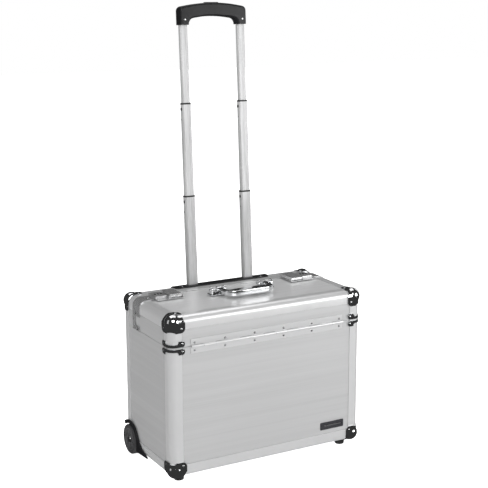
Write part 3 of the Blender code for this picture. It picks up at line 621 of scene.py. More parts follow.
class PilotCaseSizes(bpy.types.PropertyGroup):
    rivet_radius: bpy.props.FloatProperty(
        name="Rivet radius", description="Radius of the hinge rivets' heads", default=2.6 * MM, unit="LENGTH")
    corner_rivet_radius: bpy.props.FloatProperty(
        name="Corner rivet radius", description="Radius of the rivets in the chrome corners",
        default=3.0 * MM, unit="LENGTH")
    corner_ball: bpy.props.FloatProperty(
        name="Corner ball", description="Radius of the ball pressed into each chrome corner",
        default=17.6 * MM, unit="LENGTH")
    collar_height: bpy.props.FloatProperty(
        name="Collar height", description="Height of the dark ring at the end of each trolley tube",
        default=3.0 * MM, unit="LENGTH")
    lining_thickness: bpy.props.FloatProperty(
        name="Lining thickness", description="Thickness of the cloth covered boards inside",
        default=1.0 * MM, unit="LENGTH")
    label_width: bpy.props.FloatProperty(
        name="Label width", description="Width of the plain plate on the front",
        default=60.0 * MM, unit="LENGTH")


class PilotCaseFinish(bpy.types.PropertyGroup):
    sheet_shade: bpy.props.FloatProperty(
        name="Sheet shade", description="Brightness of the brushed aluminium sheet", default=0.56,
        min=0.0, max=1.0, subtype="FACTOR")
    extrusion_shade: bpy.props.FloatProperty(
        name="Extrusion shade", description="Brightness of the edge extrusions", default=0.84,
        min=0.0, max=1.0, subtype="FACTOR")
    plastic_colour: bpy.props.FloatVectorProperty(
        name="Plastic colour", description="Colour of the grip, bezel and wheel housings",
        default=(0.008, 0.008, 0.009), size=3, min=0.0, max=1.0, subtype="COLOR")


class PilotCaseStudio(bpy.types.PropertyGroup):
    floor_glow: bpy.props.FloatProperty(
        name="Floor glow", description="Light given off by the pale floor", default=1.0, min=0.0)
    key_power: bpy.props.FloatProperty(
        name="Key light", description="Power of the large light in front", default=40.0, unit="POWER")
    top_power: bpy.props.FloatProperty(
        name="Top light", description="Power of the light overhead", default=16.0, unit="POWER")
    side_power: bpy.props.FloatProperty(
        name="Side light", description="Power of the lights at the sides", default=5.0, unit="POWER")
    surround: bpy.props.FloatProperty(
        name="Surround", description="Light that the room round the case gives it", default=0.55, min=0.0)
    reflected: bpy.props.FloatProperty(
        name="Reflected", description="Brightness of the room as the metal reflects it",
        default=0.04, min=0.0)


class PieceOperator:
    bl_options = {"REGISTER", "UNDO"}


# ---------------------------------------------------------------- stage

class PILOTCASE_OT_stage(PieceOperator, bpy.types.Operator):
    """Add the pale floor, the soft lights and the camera"""
    bl_idname = "pilotcase.stage"
    bl_label = "Stage"

    def execute(self, context):
        studio = context.scene.pilot_case_studio
        self.add_floor()
        self.add_lights(studio)
        self.add_camera(context)
        self.add_room(context, studio)
        return {"FINISHED"}

    def add_floor(self):
        deselect()
        bpy.ops.mesh.primitive_plane_add(size=24, location=(0, 0, 0))
        floor = settle(bpy.context.object, "studio_floor")
        floor.data.materials.append(finish_of("studio_floor"))
        floor.visible_glossy = False

    def add_lights(self, studio):
        places = (
            ("key_light", (-1.0, -2.6, 2.1), (0, 0, 0.25), (1.8, 1.3), studio.key_power),
            ("front_fill", (1.9, -2.2, 0.9), (0, 0, 0.2), (1.6, 1.4), studio.key_power * 0.75),
            ("top_light", (0.1, 0.5, 2.4), (0, 0, 0.3), (2.2, 1.6), studio.top_power),
            ("left_light", (-2.4, 0.1, 0.9), (0, 0, 0.3), (0.9, 1.6), studio.side_power * 0.5),
            ("right_light", (2.4, 0.9, 1.2), (0, 0, 0.3), (0.9, 1.8), studio.side_power),
        )
        for name, place, aim, size, power in places:
            light = bpy.data.lights.new(name, "AREA")
            light.shape = "RECTANGLE"
            light.size, light.size_y = size
            light.energy = power
            lamp = bpy.data.objects.new(name, light)
            lamp.location = place
            lamp.rotation_euler = (Vector(aim) - Vector(place)).to_track_quat("-Z", "Y").to_euler()
            bpy.context.scene.collection.objects.link(lamp)

    def add_camera(self, context):
        lens = bpy.data.cameras.new("camera")
        lens.lens = CAMERA_LENS
        lens.sensor_width = SENSOR_WIDTH
        lens.clip_start = 0.05
        camera = bpy.data.objects.new("camera", lens)
        camera.location = CAMERA_PLACE
        aim = Euler((math.radians(CAMERA_TILT), 0.0, math.radians(CAMERA_TURN))).to_matrix()
        camera.rotation_euler = (aim @ Matrix.Rotation(math.radians(CAMERA_ROLL), 3, "Z")).to_euler()
        context.scene.collection.objects.link(camera)
        context.scene.camera = camera
        context.scene.view_settings.view_transform = "Standard"

    def add_room(self, context, studio):
        room = bpy.data.worlds.new("studio_room")
        room.use_nodes = True
        tree = room.node_tree
        back = tree.nodes["Background"]
        back.inputs["Color"].default_value = (1, 1, 1, 1)
        path = put(tree, "ShaderNodeLightPath").outputs
        mirrored = spread(tree, path["Is Glossy Ray"], studio.surround, studio.reflected)
        level = calc(tree, "MAXIMUM", mirrored, path["Is Camera Ray"])
        tree.links.new(level, back.inputs["Strength"])
        context.scene.world = room


# ---------------------------------------------------------------- shell of the case

class PILOTCASE_OT_sheets(PieceOperator, bpy.types.Operator):
    """Finish the brushed aluminium sheets of the body and the lid"""
    bl_idname = "pilotcase.sheets"
    bl_label = "Brushed sheets"

    def execute(self, context):
        for node in ("panel_front", "lid_panel_front", "panel_rear"):
            finish_node(node, finish_of("front_sheet"))
        for node in ("panel_left", "panel_right", "lid_panel_left", "lid_panel_right"):
            finish_node(node, finish_of("end_sheet"))
        # Top and bottom take the sheet painted lighter, as painted light from above.
        for node in ("lid_panel_top", "panel_bottom"):
            finish_node(node, finish_of("top_sheet_painted_lighter"))
        return {"FINISHED"}


class PILOTCASE_OT_extrusions(PieceOperator, bpy.types.Operator):
    """Finish the edge extrusions and the sheet over the trolley column"""
    bl_idname = "pilotcase.extrusions"
    bl_label = "Edge extrusions"

    def execute(self, context):
        for node in ("frame_front", "frame_rear", "lid_frame"):
            finish_node(node, finish_of("frame_extrusion"), width=0.35 * MM)
        for node in ("rail_bottom_left", "rail_bottom_right", "lid_rail_left", "lid_rail_right"):
            finish_node(node, finish_of("rail_extrusion"), width=0.35 * MM)
        finish_node("rail_bottom_rear", finish_of("hinge_strip"), width=0.35 * MM)
        finish_node("column_cap", finish_of("hinge_strip"))
        return {"FINISHED"}


class PILOTCASE_OT_corners(PieceOperator, bpy.types.Operator):
    """Press the chrome ball corners and finish the lid's rear trims and the braces"""
    bl_idname = "pilotcase.corners"
    bl_label = "Chrome corners"

    def execute(self, context):
        pattern = self.pressed_corner(context.scene.pilot_case_sizes.corner_ball)
        for name, side in SIDES:
            x = side * HALF_W
            for node, corner, inward in (
                ("corner_bottom_" + name, (x, FRONT_Y, BASE_Z), (-side, 1, 1)),
                ("corner_rear_" + name, (x, REAR_Y, TOP_Z), (-side, -1, -1)),
                ("lid_corner_front_" + name, (x, FRONT_Y, TOP_Z), (-side, 1, -1)),
            ):
                place = Matrix.Translation(corner) @ Matrix.Diagonal((*inward, 1.0))
                piece = twin(pattern, node + "_fine", place)
                complete(piece, finish_of("bright_chrome"), NODES[node]["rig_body"], "chrome", node, angle=50)
            finish_node("lid_corner_rear_" + name, finish_of("bright_nickel"), width=0.3 * MM)
            for stem in ("brace_body_", "brace_lid_"):
                node = stem + name
                strap = refined(node, 0)
                combine(strap, self.waist(node, side), "DIFFERENCE")
                ease_edges(strap, 0.3 * MM, 2, 34)
                complete(strap, finish_of("bright_chrome"), NODES[node]["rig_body"], "chrome", node)
        discard(pattern)
        return {"FINISHED"}

    def waist(self, node, side):
        """What is taken out of a strap's edge away from the seam, so that its ends stay as round lobes."""
        low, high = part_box(node)
        lobe = 14.5 * MM
        inner_x = (abs(low.x) if side > 0 else abs(high.x)) + lobe
        away = high.z if low.z > SEAM_Z else low.z
        depth = math.copysign(6.2 * MM, SEAM_Z - away)
        levels = sorted((away + depth, away - 2 * depth))
        across = sorted((side * inner_x, side * (HALF_W + 20 * MM)))
        cutter = block("waist", (across[0], FRONT_Y - 20 * MM, levels[0]),
                       (across[1], high.y - lobe, levels[1]))
        return ease_edges(cutter, 5 * MM, 5, 50)

    def rounded_octant(self, name, near, far, radius, tip):
        """A block whose near corner is a ball and whose far edges are rounded by tip."""
        piece = block(name, (near,) * 3, (far,) * 3)

        def along(level):
            def wanted(first, second):
                shared = [max(abs(first[k] - level), abs(second[k] - level)) < MM / 100 for k in range(3)]
                return sum(shared) == 2
            return wanted

        if tip:
            bevel_picked(piece, along(far), tip, 6)
        return bevel_picked(piece, along(near), radius, 12)

    def pressed_corner(self, ball_radius):
        shell = self.rounded_octant("corner_pattern", -CAP_PROUD, CAP_LEG, EDGE_R + CAP_PROUD, 10 * MM)
        middle = EDGE_R - 0.9 * MM
        deselect()
        bpy.ops.mesh.primitive_uv_sphere_add(segments=40, ring_count=20, radius=ball_radius,
                                             location=(middle,) * 3)
        ball = settle(bpy.context.object, "ball")
        combine(shell, ball, "UNION")
        case = self.rounded_octant("case_corner", -CLEAR, 2 * CAP_LEG, EDGE_R + CLEAR, None)
        combine(shell, case, "DIFFERENCE")
        scallop = drum("scallop", "X", 10 * MM, (0, 0, 0), 90 * MM, 40)
        rise = Matrix.Translation((0, 0, CAP_LEG + 5.5 * MM))
        scallop.data.transform(rise @ Matrix.Rotation(-math.pi / 4, 4, "Z"))
        for third in range(3):
            turn = Matrix.Rotation(math.radians(120 * third), 4, Vector((1, 1, 1)))
            combine(shell, twin(scallop, "scallop_turned", turn), "DIFFERENCE")
        discard(scallop)
        return ease_edges(shell, 0.35 * MM, 2, 40)


class PILOTCASE_OT_rivets(PieceOperator, bpy.types.Operator):
    """Set the rivets of the hinge, the corners, the braces and the lid's trims"""
    bl_idname = "pilotcase.rivets"
    bl_label = "Rivets"

    def execute(self, context):
        sizes = context.scene.pilot_case_sizes
        small = self.rivet("small_rivet", sizes.rivet_radius, 0.9 * MM)
        large = self.rivet("large_rivet", sizes.corner_rivet_radius, 1.2 * MM)
        leaf_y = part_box("hinge_leaf_lid")[1].y - 1.1 * MM
        for body, rise in (("root", -8.7 * MM), ("lid", 7.2 * MM)):
            places = [((x, leaf_y, SEAM_Z + rise), (0, -1, 0)) for x in HINGE_RIVETS_X]
            piece = set_out(small, "hinge_rivets_" + body, places)
            complete(piece, finish_of("rivet_metal"), body, "hinge_aluminium", weigh=False)
        for body, places in (("root", self.body_places()), ("lid", self.lid_places())):
            piece = set_out(large, "corner_rivets_" + body, places)
            complete(piece, finish_of("bright_chrome"), body, "chrome", weigh=False)
        discard(small, large)
        return {"FINISHED"}

    def rivet(self, name, radius, height):
        """A low domed head with a small dimple where the mandrel broke off."""
        profile = [(0.0, height * 0.62), (radius * 0.22, height * 0.70), (radius * 0.30, height)]
        profile += [(radius * 0.62, height * 0.86), (radius * 0.90, height * 0.42), (radius, 0.0), (0.0, 0.0)]
        return turned(name, profile, (0, 0, 0), "Z", 16)

    def ear_places(self, corner, inward, faces):
        """One rivet in each named ear of a ball corner."""
        places = []
        for axis in faces:
            place = [corner[k] + inward[k] * EAR_REACH for k in range(3)]
            place[axis] = corner[axis] - inward[axis] * CAP_PROUD
            places.append((place, [-inward[k] if k == axis else 0 for k in range(3)]))
        return places

    def brace_places(self, side, z):
        """The front rivets sit lower, so that they clear each other with the lid folded right over."""
        return [((side * (HALF_W - BRACE_REACH), FRONT_Y - CAP_PROUD + BRACE_SUNK, z), (0, -1, 0)),
                ((side * (HALF_W + CAP_PROUD), FRONT_Y + BRACE_REACH, z), (side, 0, 0))]

    def body_places(self):
        places = []
        for _, side in SIDES:
            places += self.ear_places((side * HALF_W, FRONT_Y, BASE_Z), (-side, 1, 1), (0, 1))
            places += self.ear_places((side * HALF_W, REAR_Y, TOP_Z), (-side, -1, -1), (0, 1, 2))
            places += self.brace_places(side, SEAM_Z - BRACE_RISE)
        return places

    def lid_places(self):
        places = []
        for _, side in SIDES:
            places += self.ear_places((side * HALF_W, FRONT_Y, TOP_Z), (-side, 1, -1), (0, 1, 2))
            places += self.brace_places(side, SEAM_Z + BRACE_RISE)
            y = PART_Y - CAP_LEG / 2
            places.append(((side * (HALF_W + CAP_PROUD), y, TOP_Z - TRIM_REACH), (side, 0, 0)))
            places.append(((side * (HALF_W - TRIM_REACH), y, TOP_Z + CAP_PROUD), (0, 0, 1)))
            places.append(((side * (HALF_W + CAP_PROUD), PART_Y - 26 * MM, SEAM_Z + 4.8 * MM), (side, 0, 0)))
        return places


class PILOTCASE_OT_hinge(PieceOperator, bpy.types.Operator):
    """Finish the piano hinge's leaves and pin"""
    bl_idname = "pilotcase.hinge"
    bl_label = "Piano hinge"

    def execute(self, context):
        finish_node("hinge_leaf_body", finish_of("hinge_strip"), width=0.15 * MM)
        finish_node("hinge_leaf_lid", finish_of("hinge_strip"), width=0.15 * MM)
        finish_node("hinge_pin", finish_of("pin_steel"), width=0.2 * MM)
        return {"FINISHED"}


class PILOTCASE_OT_label(PieceOperator, bpy.types.Operator):
    """Add the plain dark plate at the front's lower right"""
    bl_idname = "pilotcase.label"
    bl_label = "Label plate"

    def execute(self, context):
        width = context.scene.pilot_case_sizes.label_width
        face_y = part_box("panel_front")[0].y
        left, low, high = LABEL_LEFT, LABEL_LOW_Z, LABEL_HIGH_Z
        plate = block("label_plate", (left, face_y - 1.0 * MM, low), (left + width, face_y + 0.1 * MM, high))
        bevel_picked(plate, lambda a, b: abs(a.y - b.y) > 0.5 * MM, 2.0 * MM, 4)
        pick(plate, "FACE", lambda centre, normal: normal.y < -0.9)
        bpy.ops.mesh.inset(thickness=1.0 * MM, depth=-0.25 * MM)
        close_up()
        ease_edges(plate, 0.12 * MM)
        complete(plate, finish_of("label_black"), "root", "black_plastic")
        line = block("label_line", (left + 7 * MM, face_y - 0.95 * MM, low + 7.6 * MM),
                     (left + width - 7 * MM, face_y - 0.6 * MM, low + 9.4 * MM))
        bevel_picked(line, lambda a, b: abs(a.y - b.y) > 0.2 * MM, 0.8 * MM, 4)
        ease_edges(line, 0.08 * MM)
        complete(line, finish_of("rivet_metal"), "root", "panel_aluminium")
        return {"FINISHED"}


# ---------------------------------------------------------------- lid furniture

class PILOTCASE_OT_carry_handle(PieceOperator, bpy.types.Operator):
    """Shape the folding carry handle and finish its brackets and screws"""
    bl_idname = "pilotcase.carry_handle"
    bl_label = "Carry handle"

    def execute(self, context):
        pivot = Vector(JOINTS["carry_handle_hinge"]["pos_m"])
        handle = self.bail(pivot)
        complete(handle, finish_of("bright_chrome"), "carry_handle", "chrome", "carry_handle", angle=50)
        for name, _ in SIDES:
            finish_node("handle_bracket_" + name, finish_of("bright_chrome"), width=0.4 * MM, segments=3)
        screws = []
        for _, side in SIDES:
            for offset in (-9.4 * MM, 9.4 * MM):
                screws.append(((side * BRACKET_X, pivot.y + offset, TOP_Z + 1.9 * MM), (0, 0, 1)))
            for facing in (-1, 1):
                x = side * (BRACKET_X + facing * 17.2 * MM)
                screws.append(((x, pivot.y, pivot.z), (side * facing, 0, 0)))
        screw = screw_head("handle_screw", 2.4 * MM, 1.1 * MM)
        piece = set_out(screw, "handle_screws", screws)
        complete(piece, finish_of("bright_chrome"), "lid", "chrome", weigh=False)
        discard(screw)
        return {"FINISHED"}

    def bail(self, pivot):
        """Half of the bar, bent round to the pivot, mirrored and rounded."""
        bend = HANDLE_BEND
        bar_y, bar_z = pivot.y - HANDLE_REACH, pivot.z
        straight = HANDLE_HALF - bend
        bar = block("carry_handle_fine", (-straight, bar_y - BAR_DEPTH / 2, bar_z - BAR_HALF_H),
                    (0, bar_y + BAR_DEPTH / 2, bar_z + BAR_HALF_H))
        pick(bar, "FACE", lambda centre, normal: normal.x > 0.9)
        bpy.ops.mesh.delete(type="FACE")
        close_up()
        pick(bar, "FACE", lambda centre, normal: normal.x < -0.9)
        steps = 6
        centre = Vector((-straight, bar_y, bar_z))
        width, height = BAR_DEPTH, 2 * BAR_HALF_H
        for step in range(1, steps + 1):
            share = step / steps
            angle = math.pi / 2 * share
            there = Vector((-straight - bend * math.sin(angle), bar_y + bend * (1 - math.cos(angle)), bar_z))
            bpy.ops.mesh.extrude_region_move(TRANSFORM_OT_translate={"value": there - centre})
            centre = there
            bpy.ops.transform.rotate(value=math.pi / 2 / steps, orient_axis="Z", center_override=centre)
            slimmed = min(1.0, share * 1.15)
            new_width = BAR_DEPTH + (ARM_DEPTH - BAR_DEPTH) * slimmed
            new_height = 2 * BAR_HALF_H + (ARM_H - 2 * BAR_HALF_H) * slimmed
            across = new_width / width
            bpy.ops.transform.resize(value=(across, across, new_height / height), center_override=centre)
            width, height = new_width, new_height
        end_y = pivot.y - 3 * MM
        bpy.ops.mesh.extrude_region_move(TRANSFORM_OT_translate={"value": (0, end_y - centre.y, 0)})
        close_up()
        ease_edges(bar, 2.2 * MM, 2, 50)
        apply_modifier(bar, "MIRROR", merge_threshold=MM / 10)
        apply_modifier(bar, "SUBSURF", levels=2, render_levels=2)
        for _, side in SIDES:
            eye_place = (side * HANDLE_HALF, pivot.y, pivot.z)
            eye = drum("eye", "X", 6.2 * MM, eye_place, 10.0 * MM, 40)
            ease_edges(eye, 0.7 * MM, 3, 50)
            combine(bar, eye, "UNION")
            bore = drum("bore", "X", 3.0 * MM, eye_place, 14 * MM, 32)
            combine(bar, bore, "DIFFERENCE")
        return bar


def screw_head(name, radius, height):
    """A pan head with a cross slot, standing on z = 0."""
    head = turned(name, [(0.0, height), (radius * 0.6, height * 0.92), (radius * 0.92, height * 0.55),
                         (radius, 0.0), (0.0, 0.0)], (0, 0, 0), "Z", 20)
    for length, width in ((radius * 1.2, radius * 0.26), (radius * 0.26, radius * 1.2)):
        slot = block("slot", (-length / 2, -width / 2, height * 0.45), (length / 2, width / 2, height * 2))
        combine(head, slot, "DIFFERENCE")
    return head


class PILOTCASE_OT_locks(PieceOperator, bpy.types.Operator):
    """Finish the two lever locks with their dials and key plates"""
    bl_idname = "pilotcase.locks"
    bl_label = "Lever locks"

    def execute(self, context):
        dial = self.dial()
        screw = screw_head("lock_screw", 1.9 * MM, 0.9 * MM)
        for name, side in SIDES:
            low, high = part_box("lock_base_" + name)
            pivot = JOINTS["lock_lever_" + name + "_hinge"]["pos_m"]
            base = refined("lock_base_" + name, 0.35 * MM, 3)
            outer = side * max(abs(low.x), abs(high.x))
            block_mid = outer - side * KEY_BLOCK_IN
            row_y = (pivot[1] + 4 * MM + high.y) / 2
            dials = []
            for step in (-1, 0, 1):
                x = block_mid + step * DIAL_PITCH
                well = block("well", (x - 2.0 * MM, row_y - 5.2 * MM, high.z - 2.6 * MM),
                             (x + 2.0 * MM, row_y + 5.2 * MM, high.z + 2 * MM))
                combine(base, well, "DIFFERENCE")
                dials.append(((x, row_y, high.z - 2.9 * MM), (0, 0, 1)))
            complete(base, finish_of("satin_nickel"), "lid", "satin_nickel", "lock_base_" + name)
            piece = set_out(dial, "lock_dials_" + name, dials)
            complete(piece, finish_of("smooth_black"), "lid", "satin_nickel", weigh=False)
            places = [((outer - side * 3.5 * MM, pivot[1] - 1.6 * MM, TOP_Z + 1.5 * MM), (0, 0, 1))]
            piece = set_out(screw, "lock_screws_" + name, places)
            complete(piece, finish_of("bright_chrome"), "lid", "chrome", weigh=False)
            self.lever(name)
        discard(dial, screw)
        return {"FINISHED"}

    def dial(self):
        """A plain wheel lying on its side, with ten flats for the fingertip."""
        wheel = drum("dial", "X", DIAL_R, (0, 0, 0), 3.2 * MM, 10)
        pick(wheel, "FACE", lambda centre, normal: abs(normal.x) < 0.1)
        bpy.ops.mesh.inset(thickness=0.45 * MM, depth=-0.25 * MM, use_individual=True)
        close_up()
        return ease_edges(wheel, 0.12 * MM, 2, 20)

    def lever(self, name):
        node = "lock_lever_" + name
        lever = refined(node, 0)
        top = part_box(node)[1].z
        pick(lever, "FACE", lambda centre, normal: normal.z > 0.98 and centre.z > top - 0.5 * MM)
        bpy.ops.mesh.inset(thickness=2.6 * MM, depth=-0.6 * MM)
        bpy.ops.mesh.inset(thickness=1.2 * MM, depth=0.35 * MM)
        close_up()
        ease_edges(lever, 0.3 * MM, 3, 30)
        complete(lever, finish_of("bright_nickel"), node, "chrome", node, angle=45)


# ---------------------------------------------------------------- trolley handle

class PILOTCASE_OT_tubes(PieceOperator, bpy.types.Operator):
    """Make the telescopic tubes with their collars and lock buttons"""
    bl_idname = "pilotcase.tubes"
    bl_label = "Trolley tubes"

    def execute(self, context):
        collar_height = context.scene.pilot_case_sizes.collar_height
        order = ("lower", "middle", "upper")
        for name, side in SIDES:
            x = side * TROLLEY_X
            for index, stage in enumerate(order):
                half_u, half_v, wall, low, high = TUBES[stage]
                node = "tube_" + stage + "_" + name
                tube = self.sleeve(node + "_fine", x, half_u, half_v, TUBE_R, wall, low, high, 0.25 * MM)
                complete(lean_over(tube), finish_of("drawn_tube"), "trolley_" + stage, "tube_aluminium", node)
                if index == 2:
                    continue
                within_u, within_v = TUBES[order[index + 1]][:2]
                collar_u, collar_v = half_u + 0.5 * MM, half_v + 0.5 * MM
                ring = min(collar_u - within_u, collar_v - within_v) - 0.15 * MM
                collar = self.sleeve("collar_" + stage + "_" + name, x, collar_u, collar_v, TUBE_R + 0.4 * MM,
                                     ring, high - collar_height / 2, high + collar_height / 2, 0)
                ease_edges(collar, 0.25 * MM)
                complete(lean_over(collar), finish_of("foot_rubber"), "trolley_" + stage, "black_plastic")
                self.buttons(stage, name, x, half_u, high)
            node = "trolley_channel_" + name
            complete(refined(node, 0), finish_of("drawn_tube"), "root", "tube_aluminium", node)
        return {"FINISHED"}

    def sleeve(self, name, x, half_u, half_v, radius, wall, low, high, recess):
        """A tube with rounded corners and a shallow recess down its two wide faces."""
        piece = block(name, (x - half_u, -half_v, low), (x + half_u, half_v, high))
        bevel_picked(piece, lambda a, b: abs(a.z - b.z) > MM, radius, 8)
        if recess:
            pick(piece, "FACE", lambda centre, normal: abs(normal.y) > 0.999)
            bpy.ops.mesh.inset(thickness=1.6 * MM, depth=0, use_individual=True)
            bpy.ops.mesh.inset(thickness=0.5 * MM, depth=-recess, use_individual=True)
            close_up()
        pick(piece, "FACE", lambda centre, normal: abs(normal.z) > 0.999)
        bpy.ops.mesh.delete(type="FACE")
        close_up()
        return apply_modifier(piece, "SOLIDIFY", thickness=wall, offset=-1.0)

    def buttons(self, stage, name, x, half_u, high):
        """The lock button under a collar, and the smaller rivet below it."""
        out, under = BUTTON_PROUD, -0.4 * MM
        for label, drop, radius, finish in (("lock", 11.5 * MM, 3.8 * MM, "foot_rubber"),
                                            ("stop", 34 * MM, 1.8 * MM, "wheel_hub")):
            profile = [(0.0, out), (radius * 0.75, out), (radius, out * 0.4), (radius, under), (0.0, under)]
            knob = turned(label + "_button_" + stage + "_" + name, profile, (0, 0, 0), "X", 20)
            knob.data.transform(Matrix.Scale(-1, 4, (1, 0, 0)))
            knob.data.flip_normals()
            knob.data.transform(Matrix.Translation((x - half_u, 0, high - drop)))
            complete(lean_over(knob), finish_of(finish), "trolley_" + stage, "black_plastic", weigh=False)


class PILOTCASE_OT_grip(PieceOperator, bpy.types.Operator):
    """Finish the hand grip, its screws and the release button"""
    bl_idname = "pilotcase.grip"
    bl_label = "Trolley grip"

    def execute(self, context):
        grip = refined("trolley_grip", 0.5 * MM, 2, 34)
        finish = finish_of("black_moulding")
        complete(grip, finish, "trolley_upper", "black_plastic", "trolley_grip", angle=45)
        finish_node("grip_button", finish_of("smooth_black"), width=0.2 * MM)
        screw = screw_head("grip_screw", 2.4 * MM, 0.5 * MM)
        face = Vector((0, -math.cos(LEAN), math.sin(LEAN)))
        sideways, across, along = GRIP_SCREW
        places = [(on_handle(side * sideways, across, along), face) for _, side in SIDES]
        piece = set_out(screw, "grip_screws", places)
        complete(piece, finish_of("pin_steel"), "trolley_upper", "black_plastic", weigh=False)
        discard(screw)
        return {"FINISHED"}


class PILOTCASE_OT_bezel(PieceOperator, bpy.types.Operator):
    """Finish the plate that the tubes come out of, with an oval dish at each end"""
    bl_idname = "pilotcase.bezel"
    bl_label = "Trolley bezel"

    def execute(self, context):
        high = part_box("trolley_bezel")[1]
        middle_y = REAR_Y - DISH_IN
        plate = refined("trolley_bezel", 0)
        for _, side in SIDES:
            dish = drum("dish", "Z", 9 * MM, (0, 0, 0), 4 * MM, 40)
            dish.data.transform(Matrix.Diagonal((1.15, 0.72, 1.0, 1.0)))
            dish.data.transform(Matrix.Translation((side * DISH_X, middle_y, high.z + 0.8 * MM)))
            combine(plate, dish, "DIFFERENCE")
        ease_edges(plate, 0.3 * MM, 2, 34)
        complete(plate, finish_of("black_moulding"), "root", "black_plastic", "trolley_bezel", angle=45)
        screw = screw_head("bezel_screw", 3.0 * MM, 1.1 * MM)
        places = [((side * DISH_X, middle_y, high.z - 1.2 * MM), (0, 0, 1)) for _, side in SIDES]
        piece = set_out(screw, "bezel_screws", places)
        complete(piece, finish_of("pin_steel"), "root", "zinc_steel", weigh=False)
        discard(screw)
        return {"FINISHED"}


# ---------------------------------------------------------------- running gear

class PILOTCASE_OT_wheels(PieceOperator, bpy.types.Operator):
    """Make the wheels with tyre and hub, and finish their housings, axles and the feet"""
    bl_idname = "pilotcase.wheels"
    bl_label = "Wheels and feet"

    def execute(self, context):
        for name, _ in SIDES:
            low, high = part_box("wheel_" + name)
            centre = (low + high) / 2
            radius = (high.z - low.z) / 2
            half = (high.x - low.x) / 2
            self.tyre(name, centre, radius, half)
            self.hub(name, centre, radius, half)
            finish_node("axle_" + name, finish_of("pin_steel"), width=0.3 * MM)
            finish_node("wheel_housing_" + name, finish_of("black_moulding"), width=0.6 * MM, segments=3)
            finish_node("foot_" + name, finish_of("foot_rubber"), width=0.3 * MM)
        return {"FINISHED"}

    def tyre(self, name, centre, radius, half):
        """A dark tread with rounded shoulders and two grooves."""
        inner = radius * TYRE_INSIDE
        shoulder = 4.0 * MM
        profile = [(inner, -half + 0.8 * MM), (inner + 1.2 * MM, -half)]
        profile += arc(radius - shoulder, -half + shoulder, shoulder, 270, 360, 6)
        for middle in (-TREAD_GROOVE, TREAD_GROOVE):
            profile += [(radius, middle - 0.9 * MM), (radius - 0.9 * MM, middle - 0.5 * MM)]
            profile += [(radius - 0.9 * MM, middle + 0.5 * MM), (radius, middle + 0.9 * MM)]
        profile += arc(radius - shoulder, half - shoulder, shoulder, 0, 90, 6)
        profile += [(inner + 1.2 * MM, half), (inner, half - 0.8 * MM), (inner, -half + 0.8 * MM)]
        piece = turned("wheel_tyre_" + name, profile, centre, "X", 64)
        complete(piece, finish_of("wheel_tyre"), "wheel_" + name, "wheel_rubber", "wheel_" + name)

    def hub(self, name, centre, radius, half):
        """A dished disc with a raised boss and six ribs."""
        outer = radius * TYRE_INSIDE - 0.1 * MM
        face, dish, boss = half - 0.9 * MM, half - 3.6 * MM, half - 2.5 * MM
        profile = [(HUB_BORE_R, boss), (HUB_BOSS_R, boss), (HUB_BOSS_R + 0.8 * MM, dish)]
        profile += [(outer - 3.2 * MM, dish), (outer - 2.2 * MM, face), (outer, face)]
        profile += [(out, -along) for out, along in reversed(profile)]
        profile.append(profile[0])
        disc = turned("wheel_hub_" + name, profile, centre, "X", 64)
        for spoke in range(SPOKES):
            rib = block("rib", (-boss, -1.1 * MM, HUB_BOSS_R), (boss, 1.1 * MM, outer - 2.4 * MM))
            turn = Matrix.Translation(centre) @ Matrix.Rotation(math.radians(360 / SPOKES * spoke), 4, "X")
            rib.data.transform(turn)
            combine(disc, rib, "UNION")
        ease_edges(disc, 0.25 * MM, 2, 40)
        complete(disc, finish_of("wheel_hub"), "wheel_" + name, "wheel_rubber")


# ---------------------------------------------------------------- inside

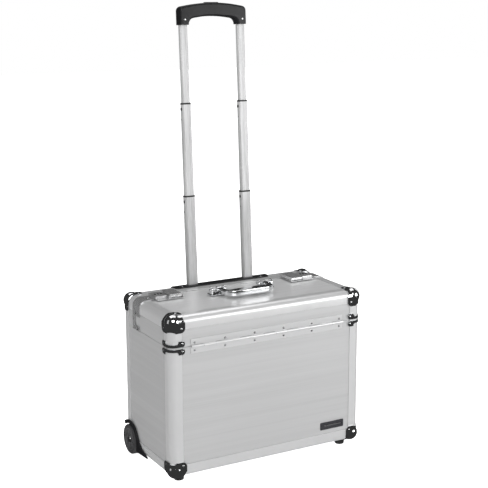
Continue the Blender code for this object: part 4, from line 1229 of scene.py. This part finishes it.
class PILOTCASE_OT_lining(PieceOperator, bpy.types.Operator):
    """Line the body and the lid with cloth covered boards"""
    bl_idname = "pilotcase.lining"
    bl_label = "Lining"

    def execute(self, context):
        thick = context.scene.pilot_case_sizes.lining_thickness
        wall = LINING_IN
        side_x = HALF_W - wall
        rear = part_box("trolley_partition")[0].y - CLEAR
        body = self.shell("lining_body", (-side_x, FRONT_Y + wall, BASE_Z + wall),
                          (side_x, rear, SEAM_Z - 3 * MM), 1, thick)
        for name, side in SIDES:
            low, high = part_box("wheel_housing_" + name)
            inner = min(abs(low.x), abs(high.x)) - MM
            reach = sorted((side * inner, side * HALF_W))
            notch = block("notch", (reach[0], rear - 8 * MM, 0), (reach[1], rear + 5 * MM, high.z + MM))
            combine(body, notch, "DIFFERENCE")
        complete(body, finish_of("woven_lining"), "root", "partition_board")
        lid = self.shell("lining_lid", (-side_x, FRONT_Y + wall, SEAM_Z + 3 * MM),
                         (side_x, rear, TOP_Z - wall), -1, thick)
        complete(lid, finish_of("woven_lining"), "lid", "partition_board")
        finish_node("trolley_partition", finish_of("woven_lining"))
        return {"FINISHED"}

    def shell(self, name, low, high, open_side, thick):
        """A box without its rear wall and without its top or bottom, with rounded corners."""
        piece = block(name, low, high)
        level = low[2] if open_side > 0 else high[2]

        def corner(first, second):
            upright = abs(first.z - second.z) > MM and first.y < low[1] + MM
            flat = abs(first.z - level) < MM and abs(second.z - level) < MM
            front = first.y < low[1] + MM and second.y < low[1] + MM
            side = abs(first.y - second.y) > MM
            return upright or (flat and (front or side))

        pick(piece, "FACE", lambda centre, normal: normal.y > 0.9 or normal.z * open_side > 0.9)
        bpy.ops.mesh.delete(type="FACE")
        close_up()
        bevel_picked(piece, corner, 8 * MM, 5)
        apply_modifier(piece, "SOLIDIFY", thickness=thick, offset=-1.0)
        return ease_edges(piece, 0.3 * MM, 2, 50)


# ---------------------------------------------------------------- panel and registration

OPERATORS = (
    PILOTCASE_OT_stage,
    PILOTCASE_OT_sheets,
    PILOTCASE_OT_extrusions,
    PILOTCASE_OT_corners,
    PILOTCASE_OT_rivets,
    PILOTCASE_OT_hinge,
    PILOTCASE_OT_label,
    PILOTCASE_OT_carry_handle,
    PILOTCASE_OT_locks,
    PILOTCASE_OT_tubes,
    PILOTCASE_OT_grip,
    PILOTCASE_OT_bezel,
    PILOTCASE_OT_wheels,
    PILOTCASE_OT_lining,
)


class PILOTCASE_PT_panel(bpy.types.Panel):
    bl_idname = "PILOTCASE_PT_panel"
    bl_label = "Pilot Case"
    bl_space_type = "VIEW_3D"
    bl_region_type = "UI"
    bl_category = "Pilot Case"

    def draw(self, context):
        scene = context.scene
        for settings in (scene.pilot_case_sizes, scene.pilot_case_finish, scene.pilot_case_studio):
            for key in settings.bl_rna.properties.keys():
                if key not in ("rna_type", "name"):
                    self.layout.prop(settings, key)
        for operator in OPERATORS:
            self.layout.operator(operator.bl_idname)


CLASSES = (PilotCaseSizes, PilotCaseFinish, PilotCaseStudio, *OPERATORS, PILOTCASE_PT_panel)


def register():
    for cls in CLASSES:
        bpy.utils.register_class(cls)
    bpy.types.Scene.pilot_case_sizes = bpy.props.PointerProperty(type=PilotCaseSizes)
    bpy.types.Scene.pilot_case_finish = bpy.props.PointerProperty(type=PilotCaseFinish)
    bpy.types.Scene.pilot_case_studio = bpy.props.PointerProperty(type=PilotCaseStudio)


def unregister():
    del bpy.types.Scene.pilot_case_studio
    del bpy.types.Scene.pilot_case_finish
    del bpy.types.Scene.pilot_case_sizes
    for cls in reversed(CLASSES):
        bpy.utils.unregister_class(cls)


def main():
    register()
    for operator in OPERATORS:
        group, action = operator.bl_idname.split(".")
        getattr(getattr(bpy.ops, group), action)()


if __name__ == "__main__":
    main()
